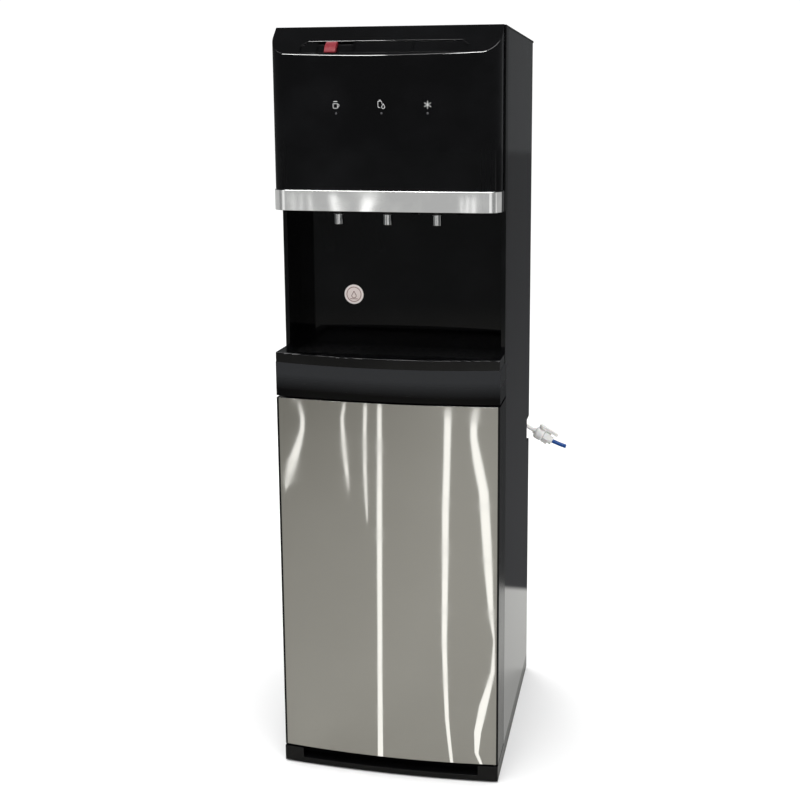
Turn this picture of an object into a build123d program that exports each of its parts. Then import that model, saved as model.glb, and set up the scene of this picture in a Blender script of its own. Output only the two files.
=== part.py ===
from build123d import *
import math
import os

# Free-standing point-of-use water cooler, in millimetres.
# X is to the right seen from the front, Y runs from the front to the back, Z is up.
# The origin is on the floor, in the middle of the cabinet's footprint.

# Cabinet
WIDTH = 310.0            # over the two side panels
DEPTH = 336.0            # front corners of the door to the rear edge of the side panels
HEIGHT = 1037.5          # floor to the top cover
TALL = HEIGHT / 1037.5   # 1 at the real height, and the heights inside grow with it
DEEP = DEPTH / 336.0     # 1 at the real depth, and the depths inside grow with it
WIDE = WIDTH / 310.0     # 1 at the real width, and the spacing across grows with it
PANEL_T = 1.2            # painted steel sheet
HEM_W = 3.2              # front hem of a side panel
REAR_LIP = 12.0          # rear lip of a side panel, turned inwards
FRONT_DEPTH = 58.0       # depth of the mouldings ahead of the side panels
RECESS = 33.0            # how far the back panel is set in from the rear edge
WALL = 3.0               # moulded plastic wall
BEND_SHARE = 0.45        # most of a run that a bend may take
TURN_SHARE = 0.49        # and that a condenser turn takes of the pitch
FIT = 0.3                # gap between fixed pieces that slide into each other
SLIP = 0.4               # gap round a piece that is lifted out or pushed
PIN_PLAY = 0.05          # radial play of a turning pin in its bore
SET = 0.02               # radial play of a pin that is pressed in and stays

# Heights of the front, from the floor
FOOT_PROUD = 2.0
BASE_TOP = 24.0
DOOR_BOTTOM = 26.0
DOOR_TOP = 540.5 * TALL
APRON_BOTTOM = DOOR_TOP + 3.0
APRON_TOP = APRON_BOTTOM + 47.0
TRAY_TOP = APRON_TOP + 13.5
HEAD_BOTTOM = 798.0 * TALL
BAND_H = 27.0
RIM_Z = HEIGHT - 39.5    # front rim where the sloped key face starts

# Plan shape of the front, measured forwards (negative) or backwards from the front corners
BASE_BOW = 7.0
DOOR_BOW = 7.0
DOOR_CORNER = 2.0
APRON_BOW_LOW = 9.5
APRON_BOW_MID = 14.5
APRON_BOW_TOP = 17.0
APRON_CORNER = 1.5
HEAD_BOW = 8.0
HEAD_CORNER_Y = -5.0     # where the nearly flat head front meets its rounded corner
HEAD_HALF = WIDTH / 2 - 2.0
HEAD_R = 25.0
HEAD_SEAM = 38.0         # joint between fascia and head housing
FACET_TOP = 32.0         # where the sloped key face meets the top

# Base plinth
TOE_H = 10.0             # front strip below the toe slot
TOE_HALF = WIDTH / 2 - 28.0
TOE_DEPTH = 14.0
BASE_PLATE = 4.0
FOOT_R = 14.0
FOOT_H = 12.0
FOOT_IN_X = 24.0         # foot's middle, in from the side
FOOT_IN_Y = 34.0         # and in from the front corners and the rear
FOOT_STUD_R = 4.0

# Door
DOOR_GAP = 1.2           # behind the closed door
DOOR_WALL = 3.0
SKIN_T = 0.8
SKIN_INSET = 2.8
SKIN_HEM = 8.0
LINER_T = 2.5
DOOR_RIB = 26.0
PIN_IN = 10.0            # hinge pin, in from the left side
PIN_BACK = 14.0          # hinge pin, ahead of the side panel's front
PIN_R = 3.0
PIN_GRIP = 11.0          # length of pin held in the base or the apron
PIN_REACH = 16.0         # length of pin in the door
BOSS = 21.0
CATCH_W = 46.0
CATCH_H = 16.0
CATCH_T = 5.0

# Filter bay behind the door
BAY_HALF = WIDTH / 2 - 25.0
BAY_BOTTOM = 40.0
BAY_TOP = DOOR_TOP - 12.5
BAY_DEPTH = 112.0 * DEEP
FRAME_T = 3.0
LINER_WALL = 2.0
FILTER_R = 29.0
FILTER_NECK_R = 19.0
FILTER_X = 52.0 * WIDE
FILTER_Y = 122.0 * DEEP  # from the front corners
FILTER_BOTTOM = 150.0 * TALL
FILTER_H = 262.0 * TALL
NECK_H = 16.0
FILTER_HEAD_H = 44.0
FILTER_HEAD_R = 33.0
BRACKET_T = 2.0

# Tray, grille and niche
TRAY_DROP = 28.0         # depth of the basin below the apron's top
TRAY_WALL = 2.5
BASIN_HALF = WIDTH / 2 - 12.0
BASIN_FRONT = 4.0
BASIN_BACK = 100.0
GRILLE_T = 2.5
GRILLE_DROP = 6.0        # grille's top below the tray's rim
GRILLE_HALF = BASIN_HALF - 2.0
GRILLE_FRONT = 7.0
GRILLE_BACK = 98.0
HOLE_R = 3.25
HOLE_PITCH = 15.0
HOLE_ROWS = 5
HOLE_FIRST_Y = 22.0
HOLES_PER_ROW = int(2 * GRILLE_HALF / HOLE_PITCH)
SLOT_X = 58.0 * WIDE
SLOT_Y = 36.0
SLOT_L = 24.0
SLOT_W = 9.0
NICHE_FRONT = 46.0
NICHE_BACK = 105.0
NICHE_WALL = 2.5

# Head, band, keys and spouts
BAND_T = 1.2
HEAD_FLOOR_T = 3.0
KEY_LOW = 5.7            # up the slope from the rim
KEY_HIGH = 27.6
KEY_HALF = WIDTH / 2 - 45.0
KEY_SPLIT = 39.0 * WIDE
KEY_BAR = 2.0            # bar between two keys
KEY_CORNER = 8.0
KEY_GAP = 0.5
KEY_SINK = 1.2           # key face below the slope
KEY_T = 5.0
KEY_TRAVEL = 3.0
STEM_R = 2.5
STEM_L = 12.0
CARRIER_T = 2.5
CARRIER_DROP = 13.0      # below the slope
LOCK_X = -KEY_SPLIT - 30.5
LOCK_W = 15.0
LOCK_TRACK_L = 47.0
LOCK_TRACK_X = LOCK_X + 5.0
LOCK_TRACK_DEEP = 2.4
SPOUT_X = 67.0 * WIDE
SPOUT_Y = 20.0
SPOUT_R = 6.5
SPOUT_BORE = 4.0
SPOUT_DROP = 19.0
SPOUT_TOP = 30.0
ICON_X = 60.5 * WIDE
LED_Z = RIM_Z - 73.0
BOARD_T = 1.6
SEAM = 0.4               # open line between two mouldings
SPOUT_NECK_R = 5.0
TONGUE_H = 5.0           # tongue of the head housing inside the fascia
CARRIER_HALF = KEY_HALF + 8.0
BOARD_POST_X = KEY_HALF - 5.0
STEM_PLAY = 0.08
STEM_IN = 12.0           # stem, in from the key's end
PLUNGER_R = 2.0
PLUNGER_L = 11.7
SWITCH_TALL = 4.2
KEY_FLANGE = 0.7
LOCK_PLAY = 0.1
LOCK_EDGE = 0.6          # slider above the slope at its edges
LOCK_RIDGE = 3.0         # and along its ridge
LED_GAP = 4.0
LED_BODY = 2.5
VALVE_NIPPLE = 12.0
VALVE_W = 22.0
SOLENOID_END = 66.0 * DEEP  # solenoid inlets, from the front corners
SCREW_IN = 14.0
SCREW_HEAD_R = 4.0
SCREW_HEAD_T = 2.2
COVER_OVER = 9.0         # top cover past the rear edge
SKIRT_H = 12.0
ELBOW_STEM_R = 7.0
ELBOW_INSIDE = 12.0
PORT_X = FILTER_X + FILTER_HEAD_R
PORT_R = 5.0
PORT_H = 14.0
PORT_HOSE_Z = BAY_TOP - 32.0
HEAD_LIFT = 2.0          # filter head above the cartridge's shoulder
FILTER_ROUND = 6.0
GRIP_RIB = 6.0
NICHE_OUT = WIDTH / 2 - 3.5
NICHE_IN = NICHE_OUT - NICHE_WALL
TRAY_SIDE = 0.6          # tray's side, in from the cabinet's side
LEDGE = 2.7
TRAY_ROUND = 1.5
BARREL_ROUND = 4.0
NUT_BORE_R = 6.0
ROCKER_GAP = 1.0
ROCKER_AXLE = 1.0
ROCKER_D = 10.0
CHASE = 12.0
CHASE_HALF = 45.0
CHASE_CUT = 78.0         # half the width of the rear chase in the foam
NIPPLE_UNDER = 8.0
HOT_ROUND = 8.0
DISCHARGE_X = 30.0
LINE_STUB = 6.0
LINE_RISE = 28.0
CAPILLARY_R = 1.0
SERP_END = 10.0
DRIER_AHEAD = 24.0
DRIER_UP = 26.0
HOSE_CLEAR = 30.0
FEED_DROP = 14.0
WARM_RUN = 13.0

# Rear recess
SERP_R = 2.4             # condenser tube
SERP_HALF = WIDTH / 2 - 33.0
SERP_PITCH = 38.0 * TALL
SERP_RUNS = 13
SERP_BOTTOM = 240.0 * TALL
WIRE_R = 0.8
WIRE_PITCH = 12.0 * WIDE
WIRE_COUNT = 19
WIRE_OVER = 8.0          # wires reach past the first and last run
WELD_GAP = 0.05
STAND_OFF = 12.0         # condenser tube's axis behind the back panel
NOTCH_LOW = 402.0 * TALL
NOTCH_HIGH = NOTCH_LOW + 38.0
NOTCH_DEEP = 28.0        # from the rear edge
SWITCH_X = 92.0 * WIDE
SWITCH_Z = HEIGHT - 137.5
SWITCH_PITCH = 30.0
SWITCH_W = 13.0
SWITCH_H = 19.0
BEZEL_RIM = 3.0
BEZEL_T = 3.0
ROCKER_T = 9.0
ROCKER_SWING = 8.0
GLAND_X = -110.0 * WIDE
GLAND_Z = 110.0
GLAND_R = 9.0
GLAND_L = 14.0
LEAD_BORE = 3.6
DRAIN_X = -60.0
DRAIN_Z = SERP_BOTTOM - 35.0
DRAIN_R = 7.0
DRAIN_BORE = 4.0
DRAIN_L = 16.0
CAP_R = 10.0
CAP_L = 12.0
CAP_TOP = 3.0

# Inlet valve outside the rear right edge, along one slanted line
TUBE_R = 3.175           # quarter inch water tube
VALVE_X = WIDTH / 2 - 2.5
VALVE_Y = DEPTH - 14.0   # from the front corners
VALVE_Z = NOTCH_LOW + 25.0
VALVE_TILT = 30.0        # degrees below level
ELBOW_BACK = -40.0       # distances along the line from the side panel
ELBOW_END = -22.0
ELBOW_BALL = 0.6         # the elbow's ball is this much larger than its stem
TUBE_START = -28.0
COLLET_S = 14.0
COLLET_L = 3.0
COLLET_R = 5.0
BARREL_L = 15.0
BARREL_R = 10.0
NUT_L = 10.0
NUT_AF = 17.0
OUTLET_R = 6.5
OUTLET_L = 6.0
GRIP_L = 15.0            # tube held inside the valve
LEVER_STEM_R = 3.0
LEVER_HUB_R = 6.0
LEVER_HUB_H = 4.0
LEVER_L = 24.0
LEVER_W = 7.0
LEVER_LIFT = 1.0
STUB_BEND = 13.2         # degrees between the valve's line and the blue tube
STUB_FIRST = 18.0
STUB_SHARE = 0.2         # the stub bends sharply, just outside the valve
STUB_L = 21.5

# Cold side
COLD_X = -15.0
COLD_Y = 185.0 * DEEP
COLD_R = 68.0 * DEEP
COLD_BOTTOM = 838.0 * TALL
COLD_H = 150.0 * TALL
TANK_T = 0.8
FOAM_T = 22.0
COIL_R = 3.0
COIL_PITCH = 12.0
COIL_TURNS = 6
COIL_START = 20.0        # above the cold tank's bottom
NIPPLE_R = 4.0
NIPPLE_END = COLD_Y - COLD_R - 33.0    # from the front corners
COLD_OUT_END = COLD_Y - COLD_R - 21.0
TAP_BEND_Y = COLD_Y - COLD_R - 35.0
COLD_OUT_X = 40.0
COLD_OUT_Z = 10.0        # above the tank's bottom
WARM_OUT_X = -15.0
WARM_OUT_Z = 0.7 * COLD_H
LID_T = 4.0
FLOAT_X = 30.0           # float valve, right of the tank's middle
FLOAT_BODY_R = 9.0
FLOAT_BODY_H = 22.0
FLOAT_DROP = 14.0        # hinge below the lid
FLOAT_ARM_L = 58.0
FLOAT_ARM_R = 2.0
FLOAT_BALL_R = 15.0

# Hot side
HOT_X = -60.0 * WIDE
HOT_Y = 195.0 * DEEP
HOT_R = 50.0 * DEEP
HOT_BOTTOM = 634.0 * TALL
HOT_H = 130.0 * TALL
HOT_FOAM_T = 12.0
HEATER_R = 16.0
HEATER_L = 9.0
SHELF_T = 1.5
SHELF_FRONT = 110.0
SHELF_HOLE_X = WIDTH / 2 - 17.0
SHELF_HOLE_Y = 230.0 * DEEP
SHELF_HOLE_R = 9.0
SHELF_LIP = 12.0

# Machine space
COMP_X = 20.0 * WIDE
COMP_Y = 240.0 * DEEP
COMP_R = 52.0 * DEEP
COMP_H = 120.0
COMP_DOME = 18.0
COMP_FOOT_T = 3.0
COMP_FOOT_X = 66.0 * WIDE
COMP_FOOT_Y = 40.0 * DEEP
GROMMET_R = 9.0
GROMMET_LOW = 7.0        # rubber below the compressor's foot
GROMMET_TOP = 3.0        # rubber above it
GROMMET_NECK_R = 5.5
STUD_R = 3.0
STUD_OVER = 2.0
DRIER_R = 8.0
DRIER_L = 70.0
BOX_LEFT = HOT_X + HOT_R + 52.0
BOX_W = WIDTH / 2 - 29.0 - BOX_LEFT
BOX_D = 90.0 * DEEP
BOX_H = 110.0 * TALL
BOX_X = BOX_LEFT + BOX_W / 2
BOX_Y = 200.0 * DEEP
LINE_R = 3.0             # copper refrigerant line

# Values worked out from the ones above
X_OUT = WIDTH / 2
X_IN = X_OUT - PANEL_T
FRONT = -DEPTH / 2
REAR = DEPTH / 2
PANEL_Y = FRONT + FRONT_DEPTH
FRAME_Y = PANEL_Y + PANEL_T
BACK_Y = REAR - RECESS
COVER_T = 3.0
PANEL_TOP = HEIGHT - COVER_T
DOOR_REAR = PANEL_Y - DOOR_GAP
PIN_X = -X_OUT + PIN_IN
PIN_Y = PANEL_Y - PIN_BACK
BASE_FLOOR = BASE_TOP - BASE_PLATE
COMP_Z = BASE_TOP + GROMMET_LOW
COLD_FOAM_IN = COLD_R + 2 * COIL_R + 2 * SLIP
COLD_FOAM_OUT = COLD_FOAM_IN + FOAM_T
COLD_TOP = COLD_BOTTOM + COLD_H
COLD_SHELF = COLD_BOTTOM - FOAM_T - SHELF_T
HOT_SHELF = HOT_BOTTOM - HOT_FOAM_T - SHELF_T
HOT_TOP = HOT_BOTTOM + HOT_H
FACET_FRONT = FRONT - HEAD_BOW
FACET_BACK = FRONT + FACET_TOP
FACET_RISE = HEIGHT - RIM_Z
SLOPE = math.atan2(FACET_RISE, FACET_BACK - FACET_FRONT)
HEAD_BACK = FRONT + HEAD_SEAM
OUT_SLOPE = Vector(0, -math.sin(SLOPE), math.cos(SLOPE))
VALVE_DIR = Vector(math.cos(math.radians(VALVE_TILT)), 0, -math.sin(math.radians(VALVE_TILT)))
VALVE_UP = Vector(math.sin(math.radians(VALVE_TILT)), 0, math.cos(math.radians(VALVE_TILT)))
VALVE_AT = Vector(VALVE_X, FRONT + VALVE_Y, VALVE_Z)


def block(x0, x1, y0, y1, z0, z1):
    """A block between six faces."""
    middle = Pos((x0 + x1) / 2, (y0 + y1) / 2, (z0 + z1) / 2)
    return middle * Box(x1 - x0, y1 - y0, z1 - z0)


def post(x, y, z0, z1, radius):
    """An upright round bar."""
    return Pos(x, y, (z0 + z1) / 2) * Cylinder(radius, z1 - z0)


def bar_y(x, z, y0, y1, radius):
    """A round bar from front to back."""
    return Pos(x, (y0 + y1) / 2, z) * Rot(90, 0, 0) * Cylinder(radius, y1 - y0)


def bar_x(y, z, x0, x1, radius):
    """A round bar from left to right."""
    return Pos((x0 + x1) / 2, y, z) * Rot(0, 90, 0) * Cylinder(radius, x1 - x0)


def along(start, direction, s0, s1, radius):
    """A round bar on a slanted line, between two distances from its start."""
    plane = Plane(origin=start + direction * s0, z_dir=direction)
    return extrude(plane * Circle(radius), s1 - s0)


def bow_face(half, corner_y, bow_y, back_y, z):
    """A plan outline with a bowed front edge, at height z."""
    left = Vector(-half, corner_y)
    right = Vector(half, corner_y)
    front = ThreePointArc(left, Vector(0, bow_y), right)
    sides = Polyline(right, Vector(half, back_y), Vector(-half, back_y), left)
    return Pos(0, 0, z) * make_face(Curve() + [front, sides])


def bow_block(half, corner_y, bow_y, back_y, z0, z1):
    """A block with a bowed front."""
    return extrude(bow_face(half, corner_y, bow_y, back_y, z0), z1 - z0)


def tube(points, radius, name, share=BEND_SHARE):
    """A round tube along straight runs joined by arcs that take a share of the shorter run."""
    pts = [Vector(*p) for p in points]
    radii = []
    for before, here, after in zip(pts, pts[1:], pts[2:]):
        first = here - before
        second = after - here
        half_turn = math.radians(first.get_angle(second)) / 2
        radii.append(share * min(first.length, second.length) / math.tan(half_turn))
    print(name, "bend radii", [round(r, 1) for r in radii])
    if radii:
        path = FilletPolyline(*pts, radius=radii)
    else:
        path = Line(*pts)
    section = Plane(origin=path @ 0, z_dir=path % 0) * Circle(radius)
    return sweep(section, path=path)


def save(name, shape):
    """Write one named piece."""
    shape.label = name
    export_step(shape, "parts/" + name + ".step")


def base_plinth():
    """Plastic base: skirt, floor plate, toe slot, sockets for the feet and the compressor's studs."""
    bow = FRONT - BASE_BOW
    shell = bow_block(X_OUT, FRONT, bow, REAR, FOOT_PROUD, BASE_TOP)
    toe_back = FRONT + TOE_DEPTH
    shell -= block(-TOE_HALF, TOE_HALF, bow - WALL, toe_back, TOE_H, BASE_TOP + WALL)
    shell -= block(-X_OUT + WALL, X_OUT - WALL, toe_back + WALL, REAR - WALL, 0, BASE_FLOOR)
    for x, y in foot_places():
        shell += post(x, y, FOOT_H + FIT, BASE_FLOOR, FOOT_R)
    shell += post(PIN_X, PIN_Y, FOOT_H + FIT, BASE_FLOOR, 2 * PIN_R)
    for x, y in foot_places():
        shell -= post(x, y, 0, BASE_FLOOR, FOOT_STUD_R + SET)
    for x, y in comp_foot_places():
        shell += post(x, y, BASE_FLOOR, stud_top(), STUD_R)
    return shell - post(PIN_X, PIN_Y, BASE_TOP - PIN_GRIP, BASE_TOP + WALL, PIN_R + SET)


def foot_places():
    """Middles of the feet: near the corners, and one that keeps the floor plate from sagging."""
    x = X_OUT - FOOT_IN_X
    corners = [(sx * x, y) for sx in (-1, 1) for y in (FRONT + FOOT_IN_Y, REAR - FOOT_IN_Y)]
    return corners + [(0, 0)]


def comp_foot_places():
    """Middles of the four studs under the compressor."""
    y = FRONT + COMP_Y
    return [(COMP_X + sx * COMP_FOOT_X, y + sy * COMP_FOOT_Y) for sx in (-1, 1) for sy in (-1, 1)]


def stud_top():
    """Top of the compressor's studs."""
    return COMP_Z + COMP_FOOT_T + GROMMET_TOP + STUD_OVER


def base_feet():
    """Five round feet with a stud that is pressed into the base."""
    feet = Part()
    for x, y in foot_places():
        feet += post(x, y, 0, FOOT_H, FOOT_R - SLIP)
        feet += post(x, y, FOOT_H, BASE_FLOOR - FIT, FOOT_STUD_R)
    return feet


def side_panel(side):
    """Folded steel side panel with a front hem, a rear lip and, on the right, the valve's notch."""
    outer, inner = side * X_OUT, side * X_IN
    low, high = min(outer, inner), max(outer, inner)
    panel = block(low, high, PANEL_Y, REAR, BASE_TOP, PANEL_TOP)
    hem = sorted((outer, side * (X_OUT - HEM_W)))
    lip = sorted((outer, side * (X_OUT - REAR_LIP)))
    panel += block(hem[0], hem[1], PANEL_Y, FRAME_Y, BASE_TOP, PANEL_TOP)
    panel += block(lip[0], lip[1], REAR - PANEL_T, REAR, BASE_TOP, PANEL_TOP)
    if side > 0:
        panel -= block(X_OUT - 2 * REAR_LIP, X_OUT + WALL, REAR - NOTCH_DEEP, REAR + WALL,
                       NOTCH_LOW, NOTCH_HIGH)
    return panel


def back_panel():
    """Steel back panel, set in from the rear edge, with side flanges and its openings."""
    plate = block(-X_IN, X_IN, BACK_Y - PANEL_T, BACK_Y, BASE_TOP, PANEL_TOP)
    flange_end = REAR - PANEL_T
    for side in (-1, 1):
        flange = sorted((side * X_IN, side * (X_IN - PANEL_T)))
        plate += block(flange[0], flange[1], BACK_Y - PANEL_T, flange_end, BASE_TOP, PANEL_TOP)
    notch_front = REAR - NOTCH_DEEP
    plate -= block(X_IN - 2 * PANEL_T, X_OUT, notch_front, REAR, NOTCH_LOW, NOTCH_HIGH)
    plate -= bar_y(GLAND_X, GLAND_Z, BACK_Y - WALL, BACK_Y + WALL, GLAND_R + SET)
    plate -= bar_y(DRAIN_X, DRAIN_Z, BACK_Y - WALL, BACK_Y + WALL, DRAIN_R + SET)
    elbow = elbow_place()
    plate -= bar_y(elbow.X, elbow.Z, BACK_Y - WALL, BACK_Y + WALL, ELBOW_STEM_R + SET)
    for x in pipe_hole_places():
        plate -= bar_y(x[0], x[1], BACK_Y - WALL, BACK_Y + WALL, LINE_R + SLIP)
    half_w = SWITCH_PITCH / 2 + SWITCH_W / 2 + SET
    half_h = SWITCH_H / 2 + SET
    y0, y1 = BACK_Y - WALL, BACK_Y + WALL
    plate -= block(SWITCH_X - half_w, SWITCH_X + half_w, y0, y1, SWITCH_Z - half_h, SWITCH_Z + half_h)
    return plate


def back_screws():
    """Pan head screws that hold the back panel's edge to the shelves and the top cover."""
    screws = Part()
    for x, z in screw_places():
        screws += bar_y(x, z, BACK_Y, BACK_Y + SCREW_HEAD_T, SCREW_HEAD_R)
    return screws


def screw_places():
    """Where the back panel is screwed."""
    edge = X_OUT - SCREW_IN
    shelf_screws = (HOT_SHELF - SHELF_LIP / 2, COLD_SHELF - SHELF_LIP / 2)
    heights = (BASE_TOP + SCREW_IN, *shelf_screws, PANEL_TOP - SCREW_IN)
    return [(sx * edge, z) for sx in (-1, 1) for z in heights]


def top_cover():
    """Flat cover with an inner skirt."""
    front = HEAD_BACK + SEAM
    cover = block(-X_OUT, X_OUT, front, REAR + COVER_OVER, PANEL_TOP, HEIGHT)
    outer = X_IN - PANEL_T - FIT
    skirt_front = PANEL_Y + FRAME_T + 2 * PANEL_T
    skirt = block(-outer, outer, skirt_front, BACK_Y - PANEL_T - FIT, PANEL_TOP - SKIRT_H, PANEL_TOP)
    inner = outer - WALL
    back = BACK_Y - PANEL_T - FIT - WALL
    skirt -= block(-inner, inner, skirt_front + WALL, back, 0, PANEL_TOP)
    return cover + skirt


def front_frame():
    """Moulded frame behind the door, with the opening of the filter bay."""
    plate = block(-X_IN, X_IN, FRAME_Y, FRAME_Y + FRAME_T, BASE_TOP, APRON_BOTTOM)
    hole = block(-BAY_HALF, BAY_HALF, PANEL_Y, FRAME_Y + 2 * FRAME_T, BAY_BOTTOM, BAY_TOP)
    return plate - hole


def tank_shelves():
    """Two steel shelves with folded rear lips: one under the hot tank, one under the cold tank."""
    shelves = Part()
    for z, middle in ((HOT_SHELF, hot_middle()), (COLD_SHELF, cold_middle())):
        shelf = block(-X_IN, X_IN, FRONT + SHELF_FRONT, BACK_Y - PANEL_T, z, z + SHELF_T)
        lip_y = BACK_Y - PANEL_T
        shelf += block(-X_IN + PANEL_T, X_IN - PANEL_T, lip_y - SHELF_T, lip_y, z - SHELF_LIP, z)
        for side in (-1, 1):
            shelf -= post(side * SHELF_HOLE_X, FRONT + SHELF_HOLE_Y, z - WALL, z + WALL, SHELF_HOLE_R)
        shelf -= post(middle[0], middle[1], z - WALL, z + WALL, NIPPLE_R + FIT)
        shelves += shelf
    return shelves


def door_frame():
    """Deep plastic door shell with hinge bosses and a rounded rear corner at the hinge."""
    low, high = DOOR_BOTTOM, DOOR_TOP
    bow = FRONT - DOOR_BOW + SKIN_T
    corner = FRONT + DOOR_CORNER + SKIN_T
    shell = bow_block(X_OUT, corner, bow, DOOR_REAR, low, high)
    inner = X_OUT - DOOR_WALL
    shell -= bow_block(inner, corner + DOOR_WALL, bow + DOOR_WALL, DOOR_REAR + WALL,
                       low + DOOR_WALL, high - DOOR_WALL)
    skin_edge = X_OUT - SKIN_INSET
    for side in (-1, 1):
        lip = sorted((side * skin_edge, side * X_OUT))
        shell += block(lip[0], lip[1], corner - SKIN_T, corner + DOOR_WALL, low, high)
    for z0, z1 in ((low, low + PIN_REACH + DOOR_WALL), (high - PIN_REACH - DOOR_WALL, high)):
        shell += block(-X_OUT, PIN_X + BOSS / 2, PIN_Y - BOSS / 2, DOOR_REAR - LINER_T, z0, z1)
    shell -= hinge_corner(low - WALL, high + WALL)
    for z0, z1 in ((low - WALL, low + PIN_REACH), (high - PIN_REACH, high + WALL)):
        shell -= post(PIN_X, PIN_Y, z0, z1, PIN_R + PIN_PLAY)
    return shell - skin_space()


def hinge_corner(z0, z1):
    """What is cut off the door's rear corner so that it can swing past the cabinet."""
    reach = PIN_BACK - DOOR_GAP
    corner = block(-X_OUT - WALL, PIN_X, PIN_Y, DOOR_REAR + WALL, z0, z1)
    return corner - post(PIN_X, PIN_Y, z0, z1, reach)


def skin_space():
    """Room for the skin's folded top and bottom edges."""
    half = X_OUT - SKIN_INSET + SET
    y0, y1 = FRONT - DOOR_BOW - WALL, FRONT + DOOR_CORNER + SKIN_HEM
    space = Part()
    for z0, z1 in ((DOOR_BOTTOM - WALL, DOOR_BOTTOM + SKIN_T), (DOOR_TOP - SKIN_T, DOOR_TOP + WALL)):
        space += block(-half, half, y0, y1 + SET, z0, z1)
    return space


def door_skin():
    """Bowed stainless skin, folded back over the top and the bottom of the door."""
    half = X_OUT - SKIN_INSET
    bow = FRONT - DOOR_BOW
    corner = door_front_y(half)
    hem_back = FRONT + DOOR_CORNER + SKIN_HEM
    outer = bow_block(half, corner, bow, hem_back, DOOR_BOTTOM, DOOR_TOP)
    inside = bow_block(X_OUT, FRONT + DOOR_CORNER + SKIN_T, bow + SKIN_T, hem_back + WALL,
                       DOOR_BOTTOM + SKIN_T, DOOR_TOP - SKIN_T)
    return outer - inside


def door_front_y(x):
    """Front face of the skin at a distance from the middle."""
    rise = DOOR_BOW + DOOR_CORNER
    radius = (X_OUT**2 + rise**2) / (2 * rise)
    return FRONT - DOOR_BOW + radius - math.sqrt(radius**2 - x**2)


def door_liner():
    """Panel that closes the door's back, inside its walls, with a stiffening rib."""
    inner = X_OUT - DOOR_WALL - FIT
    low, high = DOOR_BOTTOM + DOOR_WALL + FIT, DOOR_TOP - DOOR_WALL - FIT
    left = PIN_X + BOSS / 2 + FIT
    panel = block(left, inner, DOOR_REAR - LINER_T, DOOR_REAR, low, high)
    rib = inner - DOOR_RIB
    panel += block(left + DOOR_RIB, rib, DOOR_REAR - 2 * LINER_T, DOOR_REAR - LINER_T,
                   low + DOOR_RIB, high - DOOR_RIB)
    return panel


def door_hinge_pins():
    """Two steel pins, held in the base and in the apron, that the door turns on."""
    lower = post(PIN_X, PIN_Y, BASE_TOP - PIN_GRIP, DOOR_BOTTOM + PIN_REACH - SLIP, PIN_R)
    upper = post(PIN_X, PIN_Y, DOOR_TOP - PIN_REACH + SLIP, APRON_BOTTOM + PIN_GRIP, PIN_R)
    return lower + upper


def door_magnets():
    """Two magnets in the door's free edge that hold on the right side panel's steel hem."""
    magnets = Part()
    for z in magnet_heights():
        x1 = X_OUT - DOOR_WALL - FIT
        magnets += block(x1 - CATCH_T, x1, DOOR_REAR - LINER_T - CATCH_W, DOOR_REAR - LINER_T, z, z + CATCH_H)
    return magnets


def magnet_heights():
    """Lower edges of the door magnets."""
    return (DOOR_BOTTOM + BAY_BOTTOM, DOOR_TOP - BAY_BOTTOM - CATCH_H)


def bay_liner():
    """Five-sided plastic liner of the filter bay with two hose holes in its back."""
    front = FRAME_Y + FRAME_T
    back = front + BAY_DEPTH
    outer = BAY_HALF + LINER_WALL
    liner = block(-outer, outer, front, back, BAY_BOTTOM - LINER_WALL, BAY_TOP + LINER_WALL)
    liner -= block(-BAY_HALF, BAY_HALF, front - WALL, back - LINER_WALL, BAY_BOTTOM, BAY_TOP)
    for side in (-1, 1):
        liner -= bar_y(side * PORT_X, PORT_HOSE_Z, back - 2 * WALL, back + WALL, SHELF_HOLE_R)
    return liner


def filter_manifold():
    """Moulded head for two cartridges, with its back plate and two upright ports."""
    y = FRONT + FILTER_Y
    low = FILTER_BOTTOM + FILTER_H + HEAD_LIFT
    high = low + FILTER_HEAD_H
    body = block(-FILTER_X, FILTER_X, y - FILTER_NECK_R, y + FILTER_NECK_R, high - NECK_H, high)
    for side in (-1, 1):
        body += post(side * FILTER_X, y, low, high, FILTER_HEAD_R)
        body += block(min(side * FILTER_X, side * PORT_X), max(side * FILTER_X, side * PORT_X),
                      y - PORT_R, y + PORT_R, high - 2 * PORT_R, high)
        body += post(side * PORT_X, y, high - 2 * PORT_R, high + PORT_H, PORT_R)
    back = FRAME_Y + FRAME_T + BAY_DEPTH - LINER_WALL
    body += block(-PORT_X, PORT_X, back - BRACKET_T, back, low, high)
    body += block(-FILTER_X, FILTER_X, y, back, high - 2 * BRACKET_T, high)
    for side in (-1, 1):
        socket_top = low - HEAD_LIFT + NECK_H + SLIP
        body -= post(side * FILTER_X, y, low - WALL, socket_top, FILTER_NECK_R + PIN_PLAY)
    return body


def cartridge(x):
    """Filter cartridge: body, shoulder, neck and two grip ribs at the bottom."""
    y = FRONT + FILTER_Y
    top = FILTER_BOTTOM + FILTER_H
    body = post(x, y, FILTER_BOTTOM, top, FILTER_R)
    rims = body.edges().filter_by(GeomType.CIRCLE)
    body = fillet(rims, FILTER_ROUND)
    body += post(x, y, top - WALL, top + NECK_H, FILTER_NECK_R)
    for turn in (0, 90):
        grip = Box(2 * FILTER_R - 2 * FILTER_ROUND, WALL, GRIP_RIB)
        body += Pos(x, y, FILTER_BOTTOM - GRIP_RIB / 2) * Rot(0, 0, turn) * grip
    return body


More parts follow.
